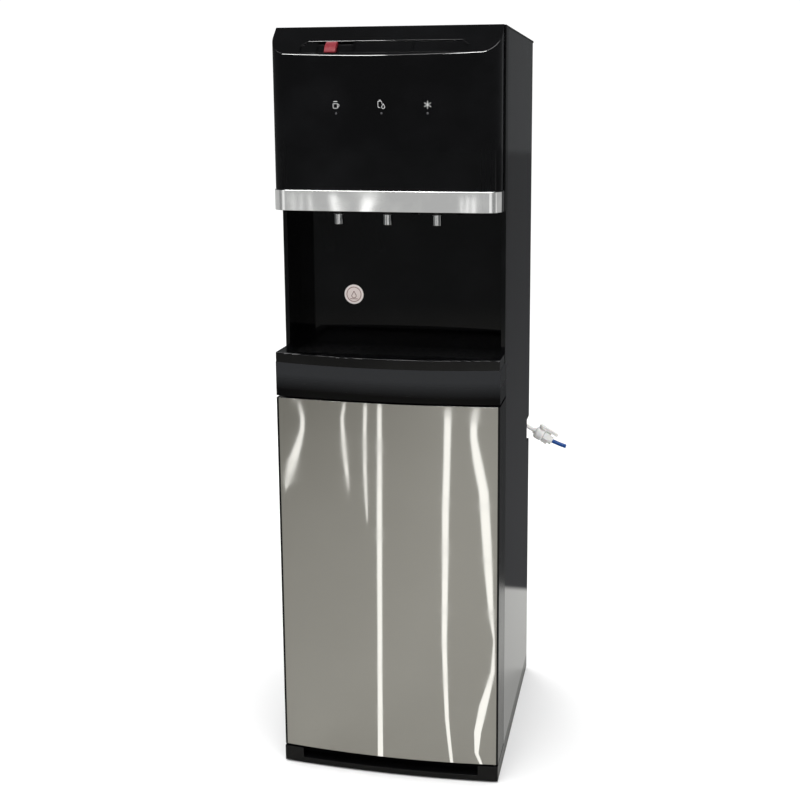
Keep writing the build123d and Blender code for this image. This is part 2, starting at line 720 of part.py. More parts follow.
def tray_housing():
    """Bowed apron under the tray: convex front, deep well for the basin, hinge pin boss."""
    heights = (APRON_BOTTOM, (APRON_BOTTOM + APRON_TOP) / 2, APRON_TOP)
    bows = (APRON_BOW_LOW, APRON_BOW_MID, APRON_BOW_TOP)
    faces = []
    for z, bow in zip(heights, bows):
        faces.append(bow_face(X_OUT, FRONT + APRON_CORNER, FRONT - bow, PANEL_Y, z))
    body = loft(faces)
    rear = FRONT + NICHE_BACK + NICHE_WALL
    inner = X_IN
    body += block(-inner, inner, PANEL_Y + PANEL_T, rear, APRON_BOTTOM, APRON_TOP)
    between_hems = X_OUT - HEM_W
    body += block(-between_hems, between_hems, PANEL_Y - PANEL_T, PANEL_Y + 2 * PANEL_T,
                  APRON_BOTTOM, APRON_TOP)
    gap = SLIP
    well_floor = APRON_TOP - TRAY_DROP - gap
    body -= block(-BASIN_HALF - gap, BASIN_HALF + gap, FRONT + BASIN_FRONT - gap, FRONT + BASIN_BACK + gap,
                  well_floor, APRON_TOP + WALL)
    return body - post(PIN_X, PIN_Y, APRON_BOTTOM - WALL, APRON_BOTTOM + PIN_GRIP, PIN_R + SET)


def drip_tray():
    """Drip tray: wide bowed lip in front of the cheeks, basin, and a ledge for the grille."""
    front_half = X_OUT - TRAY_SIDE
    neck_half = NICHE_IN - SLIP
    lip = bow_block(front_half, FRONT + APRON_CORNER, FRONT - APRON_BOW_TOP, FRONT + NICHE_FRONT - SLIP,
                    APRON_TOP, TRAY_TOP)
    rear = FRONT + NICHE_BACK - SLIP
    lip += block(-neck_half, neck_half, FRONT + NICHE_FRONT - WALL, rear, APRON_TOP, TRAY_TOP)
    floor = APRON_TOP - TRAY_DROP
    basin = block(-BASIN_HALF, BASIN_HALF, FRONT + BASIN_FRONT, FRONT + BASIN_BACK, floor, APRON_TOP)
    tray = lip + basin
    wall = TRAY_WALL + LEDGE
    hollow = BASIN_HALF - wall
    tray -= block(-hollow, hollow, FRONT + BASIN_FRONT + wall, FRONT + BASIN_BACK - wall,
                  floor + TRAY_WALL, TRAY_TOP + WALL)
    seat = TRAY_TOP - GRILLE_DROP - GRILLE_T
    tray -= block(-GRILLE_HALF, GRILLE_HALF, FRONT + GRILLE_FRONT, FRONT + GRILLE_BACK, seat, TRAY_TOP + WALL)
    top = tray.faces().sort_by(Axis.Z)[-1]
    outer = top.outer_wire().edges().sort_by(Axis.Y)[0]
    return fillet(outer, TRAY_ROUND)


def drip_grille():
    """Grille with staggered holes and two finger slots."""
    half = GRILLE_HALF - SLIP
    y0, y1 = FRONT + GRILLE_FRONT + SLIP, FRONT + GRILLE_BACK - SLIP
    seat = TRAY_TOP - GRILLE_DROP - GRILLE_T
    plate = block(-half, half, y0, y1, seat, seat + GRILLE_T)
    cuts = []
    middle = seat + GRILLE_T / 2
    for x, y in grille_holes():
        cuts.append(Pos(x, FRONT + y, middle) * Cylinder(HOLE_R, 2 * GRILLE_T))
    for side in (-1, 1):
        face = Pos(side * SLOT_X, FRONT + SLOT_Y, seat - GRILLE_T) * SlotOverall(SLOT_L, SLOT_W)
        cuts.append(extrude(face, 3 * GRILLE_T))
    return plate - cuts


def grille_holes():
    """Staggered hole places that stay clear of the two finger slots."""
    places = []
    for row in range(HOLE_ROWS):
        y = HOLE_FIRST_Y + row * HOLE_PITCH
        shift = (row % 2) * HOLE_PITCH / 2
        for column in range(HOLES_PER_ROW):
            x = (column - (HOLES_PER_ROW - 1) / 2) * HOLE_PITCH + shift - HOLE_PITCH / 4
            near = abs(abs(x) - SLOT_X) < SLOT_L / 2 + 2 * HOLE_R
            if not (near and abs(y - SLOT_Y) < SLOT_W / 2 + 2 * HOLE_R):
                places.append((x, y))
    return places


def niche_liner():
    """Glossy niche: back wall and two cheeks whose front edges stand ahead of the side panels."""
    back = FRONT + NICHE_BACK
    liner = block(-NICHE_OUT, NICHE_OUT, back, back + NICHE_WALL, APRON_TOP, HEAD_BOTTOM)
    for side in (-1, 1):
        cheek = sorted((side * NICHE_IN, side * NICHE_OUT))
        liner += block(cheek[0], cheek[1], PANEL_Y - PANEL_T, back + NICHE_WALL, APRON_TOP, HEAD_BOTTOM)
        edge = sorted((side * NICHE_IN, side * X_OUT))
        liner += block(edge[0], edge[1], FRONT + NICHE_FRONT, PANEL_Y, APRON_TOP, HEAD_BOTTOM)
    return liner


def head_face(inset, back, z):
    """Plan outline of the head: nearly flat front, round corners, straight sides."""
    half = HEAD_HALF - inset
    r = HEAD_R - inset
    cx = HEAD_HALF - HEAD_R
    cy = FRONT + HEAD_CORNER_Y + HEAD_R
    mid = r * math.sqrt(0.5)
    front = ThreePointArc((-cx, cy - r), (0, FRONT - HEAD_BOW + inset), (cx, cy - r))
    right = ThreePointArc((cx, cy - r), (cx + mid, cy - mid), (half, cy))
    left = ThreePointArc((-half, cy), (-cx - mid, cy - mid), (-cx, cy - r))
    rest = Polyline((half, cy), (half, back), (-half, back), (-half, cy))
    return Pos(0, 0, z) * make_face(Curve() + [left, front, right, rest])


def head_front_y(x):
    """Front face of the head at a distance from the middle."""
    half = HEAD_HALF - HEAD_R
    rise = HEAD_BOW + HEAD_CORNER_Y
    radius = (half**2 + rise**2) / (2 * rise)
    return FACET_FRONT + radius - math.sqrt(radius**2 - x**2)


def head_block(inset, back, z0, z1):
    """The head's plan outline between two heights."""
    return extrude(head_face(inset, back, z0), z1 - z0)


def slope_plane(depth):
    """The sloped key face, lowered into the head by a depth: x to the right, y up the slope."""
    start = Vector(0, FACET_FRONT, RIM_Z) - OUT_SLOPE * depth
    return Plane(origin=start, x_dir=(1, 0, 0), z_dir=OUT_SLOPE)


def above_slope(depth):
    """Everything above the sloped key face lowered by a depth."""
    reach = DEPTH
    return slope_plane(depth) * Pos(0, 0, reach / 2) * Box(2 * WIDTH, 2 * reach, reach)


def on_slope(x0, x1, y0, y1, d0, d1):
    """A block on the sloped face: across, up the slope and below it."""
    middle = Pos((x0 + x1) / 2, (y0 + y1) / 2, -(d0 + d1) / 2)
    return slope_plane(0) * middle * Box(x1 - x0, y1 - y0, abs(d1 - d0))


def slope_post(x, y, d0, d1, radius):
    """A round bar square to the sloped face between two depths."""
    return slope_plane(0) * Pos(x, y, -(d0 + d1) / 2) * Cylinder(radius, abs(d1 - d0))


def key_span(index):
    """Left and right edge of a key's window, counted from the left."""
    half_bar = KEY_BAR / 2
    spans = (
        (-KEY_HALF, -KEY_SPLIT - half_bar),
        (-KEY_SPLIT + half_bar, KEY_SPLIT - half_bar),
        (KEY_SPLIT + half_bar, KEY_HALF),
    )
    return spans[index]


def key_block(index, gap, d0, d1):
    """A key's outline, smaller than its window by a gap, between two depths."""
    x0, x1 = key_span(index)
    shape = on_slope(x0 + gap, x1 - gap, KEY_LOW + gap, KEY_HIGH - gap, d0, d1)
    outer = {0: x0 + gap, 2: x1 - gap}
    if index in outer:
        corner = Pos(outer[index], KEY_HIGH - gap, -(d0 + d1) / 2) * Rot(0, 0, 45)
        side = KEY_CORNER * math.sqrt(2)
        shape -= slope_plane(0) * corner * Box(side, side, 2 * abs(d1 - d0))
    return shape


def head_fascia():
    """Glossy head shell: front, round corners, sloped key face and three key windows."""
    low = HEAD_BOTTOM + BAND_H + SEAM
    shell = head_block(0, HEAD_BACK, low, HEIGHT) - above_slope(0)
    hollow = head_block(WALL, HEAD_BACK + WALL, low - WALL, HEIGHT - WALL) - above_slope(WALL)
    shell -= hollow
    for index in range(3):
        shell -= key_block(index, 0, -WALL, 2 * WALL)
    return shell


def chrome_band():
    """Bright band round the foot of the head."""
    outer = head_block(-BAND_T, HEAD_BACK, HEAD_BOTTOM, HEAD_BOTTOM + BAND_H)
    return outer - head_block(0, HEAD_BACK + WALL, HEAD_BOTTOM - WALL, HEAD_BOTTOM + BAND_H + WALL)


def head_housing():
    """Ring behind the fascia with the head's floor, the band's seat and the spout holes."""
    front = HEAD_BACK + SEAM
    top_wall = HEAD_BOTTOM + HEAD_FLOOR_T
    ring = block(-X_OUT, X_OUT, front, PANEL_Y, HEAD_BOTTOM, PANEL_TOP)
    inner = X_OUT - WALL
    ring -= block(-inner, inner, front - WALL, PANEL_Y + WALL, top_wall, PANEL_TOP - WALL)
    rear = FRONT + NICHE_BACK + NICHE_WALL
    ring += block(-NICHE_OUT, NICHE_OUT, PANEL_Y - WALL, rear, HEAD_BOTTOM, top_wall)
    ring += head_block(SET, front + WALL, HEAD_BOTTOM, top_wall)
    seat = head_block(SET, front, HEAD_BOTTOM, HEAD_BOTTOM + BAND_H)
    ring += seat - head_block(WALL, front + WALL, HEAD_BOTTOM, HEAD_BOTTOM + BAND_H + WALL)
    tongue = head_block(WALL + FIT, front, HEAD_BOTTOM, HEAD_BOTTOM + BAND_H + TONGUE_H)
    ring += tongue - head_block(2 * WALL, front + WALL, 0, HEIGHT)
    for x in (-SPOUT_X, 0, SPOUT_X):
        ring -= post(x, FRONT + SPOUT_Y, HEAD_BOTTOM - WALL, top_wall + WALL, SPOUT_NECK_R + SET)
    return ring


def key_carrier():
    """Plate under the keys with stem guides, end feet on the fascia and posts for the switch board."""
    plate = on_slope(-CARRIER_HALF, CARRIER_HALF, KEY_LOW, KEY_HIGH, CARRIER_DROP, CARRIER_DROP + CARRIER_T)
    for side in (-1, 1):
        foot = sorted((side * CARRIER_HALF, side * (CARRIER_HALF - WALL)))
        plate += on_slope(foot[0], foot[1], KEY_LOW, KEY_HIGH, WALL, CARRIER_DROP)
        plate += slope_post(side * BOARD_POST_X, key_mid(), CARRIER_DROP, board_depth(), STEM_R)
    for index in range(3):
        above, under = CARRIER_DROP - WALL, CARRIER_DROP + 2 * WALL
        for x in stem_places(index):
            plate -= slope_post(x, key_mid(), above, under, STEM_R + STEM_PLAY)
        plate -= slope_post(plunger_x(index), key_mid(), above, under, PLUNGER_R + FIT)
    return plate


def key_mid():
    """Middle of the keys, up the slope."""
    return (KEY_LOW + KEY_HIGH) / 2


def stem_places(index):
    """Two guide stems of a key."""
    x0, x1 = key_span(index)
    return (x0 + STEM_IN, x1 - STEM_IN)


def plunger_x(index):
    """Middle of a key, where its plunger works the switch."""
    x0, x1 = key_span(index)
    return (x0 + x1) / 2


def board_depth():
    """Depth of the switch board's face below the slope."""
    return KEY_SINK + KEY_T + PLUNGER_L + KEY_TRAVEL + FIT + SWITCH_TALL


def key(index):
    """Push key: face, retaining flange under the fascia, two stems and a plunger."""
    low = KEY_SINK + KEY_T
    body = key_block(index, KEY_GAP, KEY_SINK, low)
    body += key_block(index, -KEY_FLANGE, WALL, low)
    for x in stem_places(index):
        body += slope_post(x, key_mid(), low, low + STEM_L, STEM_R)
    body += slope_post(plunger_x(index), key_mid(), low, low + PLUNGER_L, PLUNGER_R)
    return body


def hot_key():
    """Left key, with the track of the child lock slider cut into its face."""
    x0 = LOCK_TRACK_X - LOCK_TRACK_L / 2
    track = on_slope(x0, x0 + LOCK_TRACK_L, 0, KEY_HIGH + WALL, -WALL, KEY_SINK + LOCK_TRACK_DEEP)
    return key(0) - track


def child_lock_slider():
    """Ridged slider that stands proud of the sloped face."""
    floor = -(KEY_SINK + LOCK_TRACK_DEEP - LOCK_PLAY)
    y0, y1 = KEY_LOW + 2 * KEY_GAP, KEY_HIGH - 2 * KEY_GAP
    mid = (y0 + y1) / 2
    ridge = ((y0, LOCK_EDGE), (mid, LOCK_RIDGE), (y1, LOCK_EDGE))
    outline = Polyline((y0, floor), *ridge, (y1, floor), close=True)
    base = slope_plane(0)
    start = base.origin + base.x_dir * (LOCK_X - LOCK_W / 2)
    side = Plane(origin=start, x_dir=base.y_dir, z_dir=base.x_dir)
    return extrude(side * make_face(outline), LOCK_W)


def control_board():
    """Switch board under the keys and indicator board behind the icons."""
    depth = board_depth()
    half = BOARD_POST_X + 2 * STEM_R
    board = on_slope(-half, half, KEY_LOW, KEY_HIGH, depth, depth + BOARD_T)
    for index in range(3):
        x = plunger_x(index)
        w = SWITCH_TALL
        board += on_slope(x - w, x + w, key_mid() - w, key_mid() + w, depth - SWITCH_TALL, depth)
    y0 = FACET_FRONT + WALL + LED_GAP
    panel_half = ICON_X + 3 * LED_BODY
    low, high = LED_Z - 3 * LED_BODY, LED_Z + 6 * LED_BODY
    panel = block(-panel_half, panel_half, y0, y0 + BOARD_T, low, high)
    for x in (-ICON_X, 0, ICON_X):
        front = head_front_y(abs(x) + LED_BODY) + WALL + FIT
        panel += block(x - LED_BODY, x + LED_BODY, front, y0, LED_Z - LED_BODY, LED_Z + LED_BODY)
    for x in (-BOARD_POST_X / 2, BOARD_POST_X / 2):
        front = head_front_y(abs(x) + STEM_R) + WALL + FIT
        panel += bar_y(x, high - LED_BODY, front, y0, STEM_R)
    return board + panel


def spouts():
    """Three dispensing spouts that hang below the head's floor."""
    group = Part()
    low = HEAD_BOTTOM - SPOUT_DROP
    top = HEAD_BOTTOM + SPOUT_TOP
    floor = HEAD_BOTTOM + HEAD_FLOOR_T
    for x in (-SPOUT_X, 0, SPOUT_X):
        y = FRONT + SPOUT_Y
        spout = post(x, y, low, HEAD_BOTTOM, SPOUT_R)
        spout += post(x, y, HEAD_BOTTOM, floor, SPOUT_NECK_R)
        spout += post(x, y, floor, floor + WALL, SPOUT_R + WALL / 2)
        spout += post(x, y, floor + WALL, top, NIPPLE_R)
        spout -= post(x, y, low - WALL, HEAD_BOTTOM - SPOUT_DROP / 2, SPOUT_BORE)
        spout -= post(x, y, low, top + WALL, NIPPLE_R / 2)
        group += spout
    return group


def tap_solenoids():
    """Three solenoid valves that sit on the spouts."""
    group = Part()
    for x in (-SPOUT_X, 0, SPOUT_X):
        y = FRONT + SPOUT_Y
        low = HEAD_BOTTOM + SPOUT_TOP
        body_low = low + VALVE_NIPPLE
        body = post(x, y, low, body_low, NIPPLE_R)
        half = VALVE_W / 2
        body += block(x - half, x + half, y - half, y + half, body_low, body_low + VALVE_W)
        coil_w = half + WALL / 2
        coil_y = y + half
        body += block(x - coil_w, x + coil_w, coil_y, coil_y + VALVE_W,
                      body_low - WALL, body_low + VALVE_W + WALL)
        body += bar_y(x, solenoid_z(), coil_y + VALVE_W, FRONT + SOLENOID_END, NIPPLE_R)
        group += body
    return group


def solenoid_z():
    """Height of the solenoid valves' inlets."""
    return HEAD_BOTTOM + SPOUT_TOP + VALVE_NIPPLE + VALVE_W / 2


def compressor():
    """Hermetic compressor: foot plate, can with a domed top, suction and discharge stubs."""
    y = FRONT + COMP_Y
    foot_x = COMP_FOOT_X + GROMMET_R
    foot_y = COMP_FOOT_Y + GROMMET_R
    body = block(COMP_X - foot_x, COMP_X + foot_x, y - foot_y, y + foot_y, COMP_Z, COMP_Z + COMP_FOOT_T)
    for x, fy in comp_foot_places():
        body -= post(x, fy, COMP_Z - WALL, COMP_Z + 2 * COMP_FOOT_T, GROMMET_NECK_R + SET)
    can_low = COMP_Z + COMP_FOOT_T
    can_top = can_low + COMP_H + COMP_DOME
    can = post(COMP_X, y, can_low, can_top, COMP_R)
    can = fillet(can.edges().filter_by(GeomType.CIRCLE).sort_by(Axis.Z)[-1], COMP_DOME)
    body += can
    body += post(COMP_X + DISCHARGE_X, y, can_top - COMP_DOME, can_top + LINE_STUB, LINE_R)
    return body + bar_x(y, can_top - COMP_DOME, COMP_X, COMP_X + COMP_R + LINE_STUB, LINE_R)


def compressor_grommets():
    """Four stepped rubber grommets on the base's studs."""
    group = Part()
    for x, y in comp_foot_places():
        grommet = post(x, y, BASE_TOP, COMP_Z, GROMMET_R)
        grommet += post(x, y, COMP_Z, COMP_Z + COMP_FOOT_T, GROMMET_NECK_R)
        grommet += post(x, y, COMP_Z + COMP_FOOT_T, COMP_Z + COMP_FOOT_T + GROMMET_TOP, GROMMET_R - WALL / 2)
        group += grommet - post(x, y, 0, stud_top(), STUD_R + SET)
    return group


def pipe_hole_places():
    """Where the condenser's two ends pass through the back panel."""
    return [(-SERP_HALF, SERP_BOTTOM), (SERP_HALF, serp_top())]


def serp_top():
    """Height of the condenser's last run."""
    return SERP_BOTTOM + (SERP_RUNS - 1) * SERP_PITCH


def condenser_tube():
    """Serpentine steel tube behind the back panel, its two ends bent in through the panel."""
    y_in = BACK_Y - SERP_END
    y = BACK_Y + STAND_OFF
    points = [(-SERP_HALF, y_in, SERP_BOTTOM), (-SERP_HALF, y, SERP_BOTTOM)]
    radii = [BEND_SHARE * (y - y_in)]
    turn = TURN_SHARE * SERP_PITCH
    for run in range(SERP_RUNS):
        z = SERP_BOTTOM + run * SERP_PITCH
        side = 1 if run % 2 == 0 else -1
        if run > 0:
            points.append((-side * SERP_HALF, y, z))
            radii.append(turn)
        if run < SERP_RUNS - 1:
            points.append((side * SERP_HALF, y, z))
            radii.append(turn)
    points.append((SERP_HALF, y, serp_top()))
    points.append((SERP_HALF, y_in, serp_top()))
    radii.append(BEND_SHARE * (y - y_in))
    path = FilletPolyline(*points, radius=radii)
    section = Plane(origin=path @ 0, z_dir=path % 0) * Circle(SERP_R)
    return sweep(section, path=path)


def condenser_wires():
    """Upright wires on both faces of the condenser tube, with its spacer feet on the panel."""
    wires = Part()
    y = BACK_Y + STAND_OFF
    reach = SERP_R + WIRE_R + WELD_GAP
    low, high = SERP_BOTTOM - WIRE_OVER, serp_top() + WIRE_OVER
    for index in range(WIRE_COUNT):
        x = (index - (WIRE_COUNT - 1) / 2) * WIRE_PITCH
        for side in (-1, 1):
            wires += post(x, y + side * reach, low, high, WIRE_R)
    return wires


def inlet_elbow():
    """Bulkhead elbow: stem through the back panel, collar on it, slanted outlet for the tube."""
    place = elbow_place()
    y = FRONT + VALVE_Y
    body = bar_y(place.X, place.Z, BACK_Y - ELBOW_INSIDE, y, ELBOW_STEM_R)
    body += bar_y(place.X, place.Z, BACK_Y, BACK_Y + WALL, ELBOW_STEM_R + WALL)
    body += Pos(place.X, y, place.Z) * Sphere(ELBOW_STEM_R + ELBOW_BALL)
    body += along(VALVE_AT, VALVE_DIR, ELBOW_BACK, ELBOW_END, ELBOW_STEM_R)
    return body - along(VALVE_AT, VALVE_DIR, TUBE_START, ELBOW_END + WALL, TUBE_R + SET)


def elbow_place():
    """Where the elbow turns from the panel into the slanted line."""
    return VALVE_AT + VALVE_DIR * ELBOW_BACK


def inlet_tube():
    """Short white tube from the elbow to the valve."""
    return along(VALVE_AT, VALVE_DIR, TUBE_START, COLLET_S + GRIP_L, TUBE_R)


def valve_places():
    """Distances along the valve's line: barrel start, nut start, outlet start, outlet end."""
    barrel = COLLET_S + COLLET_L
    nut = barrel + BARREL_L
    outlet = nut + NUT_L
    return barrel, nut, outlet, outlet + OUTLET_L


def valve_body():
    """White ball valve: collet ring, rounded barrel, outlet collar and the lever's stem."""
    barrel, nut, outlet, end = valve_places()
    body = along(VALVE_AT, VALVE_DIR, barrel, nut, BARREL_R)
    body = fillet(body.edges().filter_by(GeomType.CIRCLE), BARREL_ROUND)
    body += along(VALVE_AT, VALVE_DIR, COLLET_S, nut, COLLET_R)
    body += along(VALVE_AT, VALVE_DIR, nut - WALL, outlet, NUT_BORE_R)
    body += along(VALVE_AT, VALVE_DIR, outlet, end, OUTLET_R)
    middle = VALVE_AT + VALVE_DIR * (barrel + BARREL_L / 2)
    body += along(middle, VALVE_UP, 0, BARREL_R + LEVER_LIFT + LEVER_HUB_H, LEVER_STEM_R)
    body -= along(VALVE_AT, VALVE_DIR, COLLET_S - WALL, COLLET_S + GRIP_L, TUBE_R + SET)
    return body - along(VALVE_AT, VALVE_DIR, end - GRIP_L, end + WALL, TUBE_R + SET)


def valve_nut():
    """Hexagon nut on the valve's outlet side."""
    nut_start = valve_places()[1]
    plane = Plane(origin=VALVE_AT + VALVE_DIR * nut_start, x_dir=(0, 1, 0), z_dir=VALVE_DIR)
    nut = extrude(plane * RegularPolygon(NUT_AF / 2, 6, major_radius=False), NUT_L)
    return nut - along(VALVE_AT, VALVE_DIR, nut_start - WALL, nut_start + NUT_L + WALL, NUT_BORE_R + SET)


def valve_lever():
    """Lever of the ball valve: hub on the stem and a flat handle along the tube."""
    barrel = valve_places()[0]
    middle = VALVE_AT + VALVE_DIR * (barrel + BARREL_L / 2)
    low = BARREL_R + LEVER_LIFT
    high = low + LEVER_HUB_H
    hub = along(middle, VALVE_UP, low, high, LEVER_HUB_R)
    plane = Plane(origin=middle + VALVE_UP * low, x_dir=VALVE_DIR, z_dir=VALVE_UP)
    handle = extrude(plane * Pos(LEVER_L / 2, 0) * SlotOverall(LEVER_L + LEVER_W, LEVER_W), LEVER_HUB_H)
    return hub + handle - along(middle, VALVE_UP, 0, high + WALL, LEVER_STEM_R + PIN_PLAY)


def stub_points():
    """Route of the blue tube: out of the valve, then a slight bend towards level."""
    start = VALVE_AT + VALVE_DIR * (valve_places()[3] - GRIP_L)
    bend = start + VALVE_DIR * STUB_FIRST
    tilt = math.radians(VALVE_TILT - STUB_BEND)
    end = bend + Vector(math.cos(tilt), 0, -math.sin(tilt)) * STUB_L
    return [start, bend, end]


def supply_tube():
    """Cut stub of blue tube in the valve's outlet."""
    return tube(stub_points(), TUBE_R, "supply_tube", STUB_SHARE)


def switch_bezel():
    """Bezel of the two rear rocker switches, set into the back panel."""
    half_w = SWITCH_PITCH / 2 + SWITCH_W / 2
    half_h = SWITCH_H / 2
    rim_w, rim_h = half_w + BEZEL_RIM, half_h + BEZEL_RIM
    x, z = SWITCH_X, SWITCH_Z
    bezel = block(x - rim_w, x + rim_w, BACK_Y, BACK_Y + BEZEL_T, z - rim_h, z + rim_h)
    bezel += block(x - half_w, x + half_w, BACK_Y - 2 * ROCKER_T, BACK_Y, z - half_h, z + half_h)
    for side in (-1, 1):
        cx = x + side * SWITCH_PITCH / 2
        half = SWITCH_W / 2 - WALL / 2
        tall = half_h - WALL / 2
        bezel -= block(cx - half, cx + half, BACK_Y - ROCKER_T, BACK_Y + 2 * BEZEL_T, z - tall, z + tall)
    return bezel


def rocker(side):
    """Rocker of a rear switch, tipped to off, as it turns about a level axle near the panel."""
    x = SWITCH_X + side * SWITCH_PITCH / 2
    half = SWITCH_W / 2 - WALL / 2 - SLIP
    tall = SWITCH_H / 2 - WALL / 2 - ROCKER_GAP
    place = Pos(x, BACK_Y - ROCKER_AXLE, SWITCH_Z) * Rot(ROCKER_SWING, 0, 0)
    return place * Box(2 * half, ROCKER_D, 2 * tall)


def cable_gland():
    """Round gland for the mains lead, with an empty bore."""
    gland = bar_y(GLAND_X, GLAND_Z, BACK_Y - GLAND_L / 2, BACK_Y + GLAND_L, GLAND_R)
    gland += bar_y(GLAND_X, GLAND_Z, BACK_Y, BACK_Y + WALL, GLAND_R + WALL)
    return gland - bar_y(GLAND_X, GLAND_Z, BACK_Y - GLAND_L, BACK_Y + 2 * GLAND_L, LEAD_BORE)


def drain_spigot():
    """Drain spigot of the hot tank, through the back panel."""
    spigot = bar_y(DRAIN_X, DRAIN_Z, BACK_Y - GLAND_L / 2, BACK_Y + DRAIN_L, DRAIN_R)
    spigot += bar_y(DRAIN_X, DRAIN_Z, BACK_Y, BACK_Y + WALL, DRAIN_R + WALL)
    return spigot - bar_y(DRAIN_X, DRAIN_Z, BACK_Y - GLAND_L / 2, BACK_Y + 2 * DRAIN_L, DRAIN_BORE)


def drain_cap():
    """Cap that pulls off the drain spigot."""
    end = BACK_Y + DRAIN_L
    cap = bar_y(DRAIN_X, DRAIN_Z, end - CAP_L, end + CAP_TOP, CAP_R)
    return cap - bar_y(DRAIN_X, DRAIN_Z, end - 2 * CAP_L, end, DRAIN_R + PIN_PLAY)


def cold_middle():
    """Axis of the cold tank."""
    return COLD_X, FRONT + COLD_Y


def hot_middle():
    """Axis of the hot tank."""
    return HOT_X, FRONT + HOT_Y


def cold_tank():
    """Open stainless tank with two front outlets and a bottom outlet to the hot tank."""
    x, y = cold_middle()
    tank = post(x, y, COLD_BOTTOM, COLD_TOP, COLD_R)
    front = FRONT + NIPPLE_END
    tank += bar_y(COLD_OUT_X, cold_out_z(), FRONT + COLD_OUT_END, y, NIPPLE_R)
    tank += bar_y(WARM_OUT_X, warm_out_z(), front, y, NIPPLE_R)
    tank += post(x, y, COLD_SHELF - NIPPLE_UNDER, COLD_BOTTOM, NIPPLE_R)
    return tank - post(x, y, COLD_BOTTOM + TANK_T, COLD_TOP + WALL, COLD_R - TANK_T)


def cold_out_z():
    """Height of the cold outlet."""
    return COLD_BOTTOM + COLD_OUT_Z


def warm_out_z():
    """Height of the ambient outlet."""
    return COLD_BOTTOM + WARM_OUT_Z


def cold_tank_foam():
    """Foam cup round the cold tank with outlet holes and a rear chase for the copper lines."""
    x, y = cold_middle()
    foam = post(x, y, COLD_SHELF + SHELF_T, COLD_TOP, COLD_FOAM_OUT)
    foam -= post(x, y, COLD_BOTTOM, COLD_TOP + WALL, COLD_FOAM_IN)
    foam -= bar_y(COLD_OUT_X, cold_out_z(), FRONT, y, NIPPLE_R + FIT)
    foam -= bar_y(WARM_OUT_X, warm_out_z(), FRONT, y, NIPPLE_R + FIT)
    foam -= post(x, y, 0, COLD_TOP, NIPPLE_R + FIT)
    low, high = coil_low() - CHASE, coil_high() + CHASE
    reach = COLD_R + COIL_R - CHASE
    return foam - block(x - CHASE_CUT, x + CHASE_CUT, y + reach, y + 2 * COLD_R, low, high)


def coil_radius():
    """Radius of the evaporator coil's middle line."""
    return COLD_R + COIL_R + SLIP


def coil_low():
    """Height of the coil's first turn."""
    return COLD_BOTTOM + COIL_START


def coil_high():
    """Height where the coil ends."""
    return coil_low() + COIL_TURNS * COIL_PITCH


def evaporator_coil():
    """Copper coil round the cold tank: one unbroken tube of tilted half turns."""
    x, y = cold_middle()
    r = coil_radius()
    rise = COIL_PITCH / 2
    arcs = []
    for half in range(2 * COIL_TURNS):
        z = coil_low() + half * rise
        side = 1 if half % 2 == 0 else -1
        start = Vector(x, y + side * r, z)
        middle = Vector(x + side * math.hypot(r, rise / 2), y, z + rise / 2)
        end = Vector(x, y - side * r, z + rise)
        arcs.append(ThreePointArc(start, middle, end))
    print("evaporator_coil least gap", round(COIL_PITCH - 2 * COIL_R, 2))
    path = Wire([arc.edge() for arc in arcs])
    section = Plane(origin=path @ 0, z_dir=path % 0) * Circle(COIL_R)
    return sweep(section, path=path)


def float_valve():
    """Lid of the cold tank with the float valve, its inlet and the arm's bracket."""
    x, y = cold_middle()
    lid = post(x, y, COLD_TOP, COLD_TOP + LID_T, COLD_FOAM_IN)
    vx = x + FLOAT_X
    top = COLD_TOP + LID_T
    lid += post(vx, y, top, top + FLOAT_BODY_H, FLOAT_BODY_R)
    lid += bar_x(y, float_inlet_z(), vx - FLOAT_BODY_R - VALVE_NIPPLE, vx, NIPPLE_R)
    half = FLOAT_BODY_R / 2
    bracket = block(vx - half, vx + half, y - half, y + half, COLD_TOP - FLOAT_DROP - half, COLD_TOP)
    slot = FLOAT_ARM_R + SLIP
    bracket -= block(vx - 2 * half, vx + 2 * half, y - slot, y + slot, 0, COLD_TOP - half)
    bracket += bar_y(vx, COLD_TOP - FLOAT_DROP, y - half, y + half, FLOAT_ARM_R / 2)
    return lid + bracket


def float_inlet_z():
    """Height of the float valve's inlet."""
    return COLD_TOP + LID_T + FLOAT_BODY_H / 2


def float_arm():
    """Float arm with its ball, on the bracket's pin."""
    x, y = cold_middle()
    vx = x + FLOAT_X
    z = COLD_TOP - FLOAT_DROP
    eye = bar_y(vx, z, y - FLOAT_ARM_R, y + FLOAT_ARM_R, 2 * FLOAT_ARM_R)
    arm = bar_x(y, z, vx - FLOAT_ARM_L, vx, FLOAT_ARM_R)
    ball = Pos(vx - FLOAT_ARM_L, y, z - FLOAT_BALL_R) * Rot(90, 0, 0) * Sphere(FLOAT_BALL_R)
    return eye + arm + ball - bar_y(vx, z, y - WALL, y + WALL, FLOAT_ARM_R / 2 + PIN_PLAY)


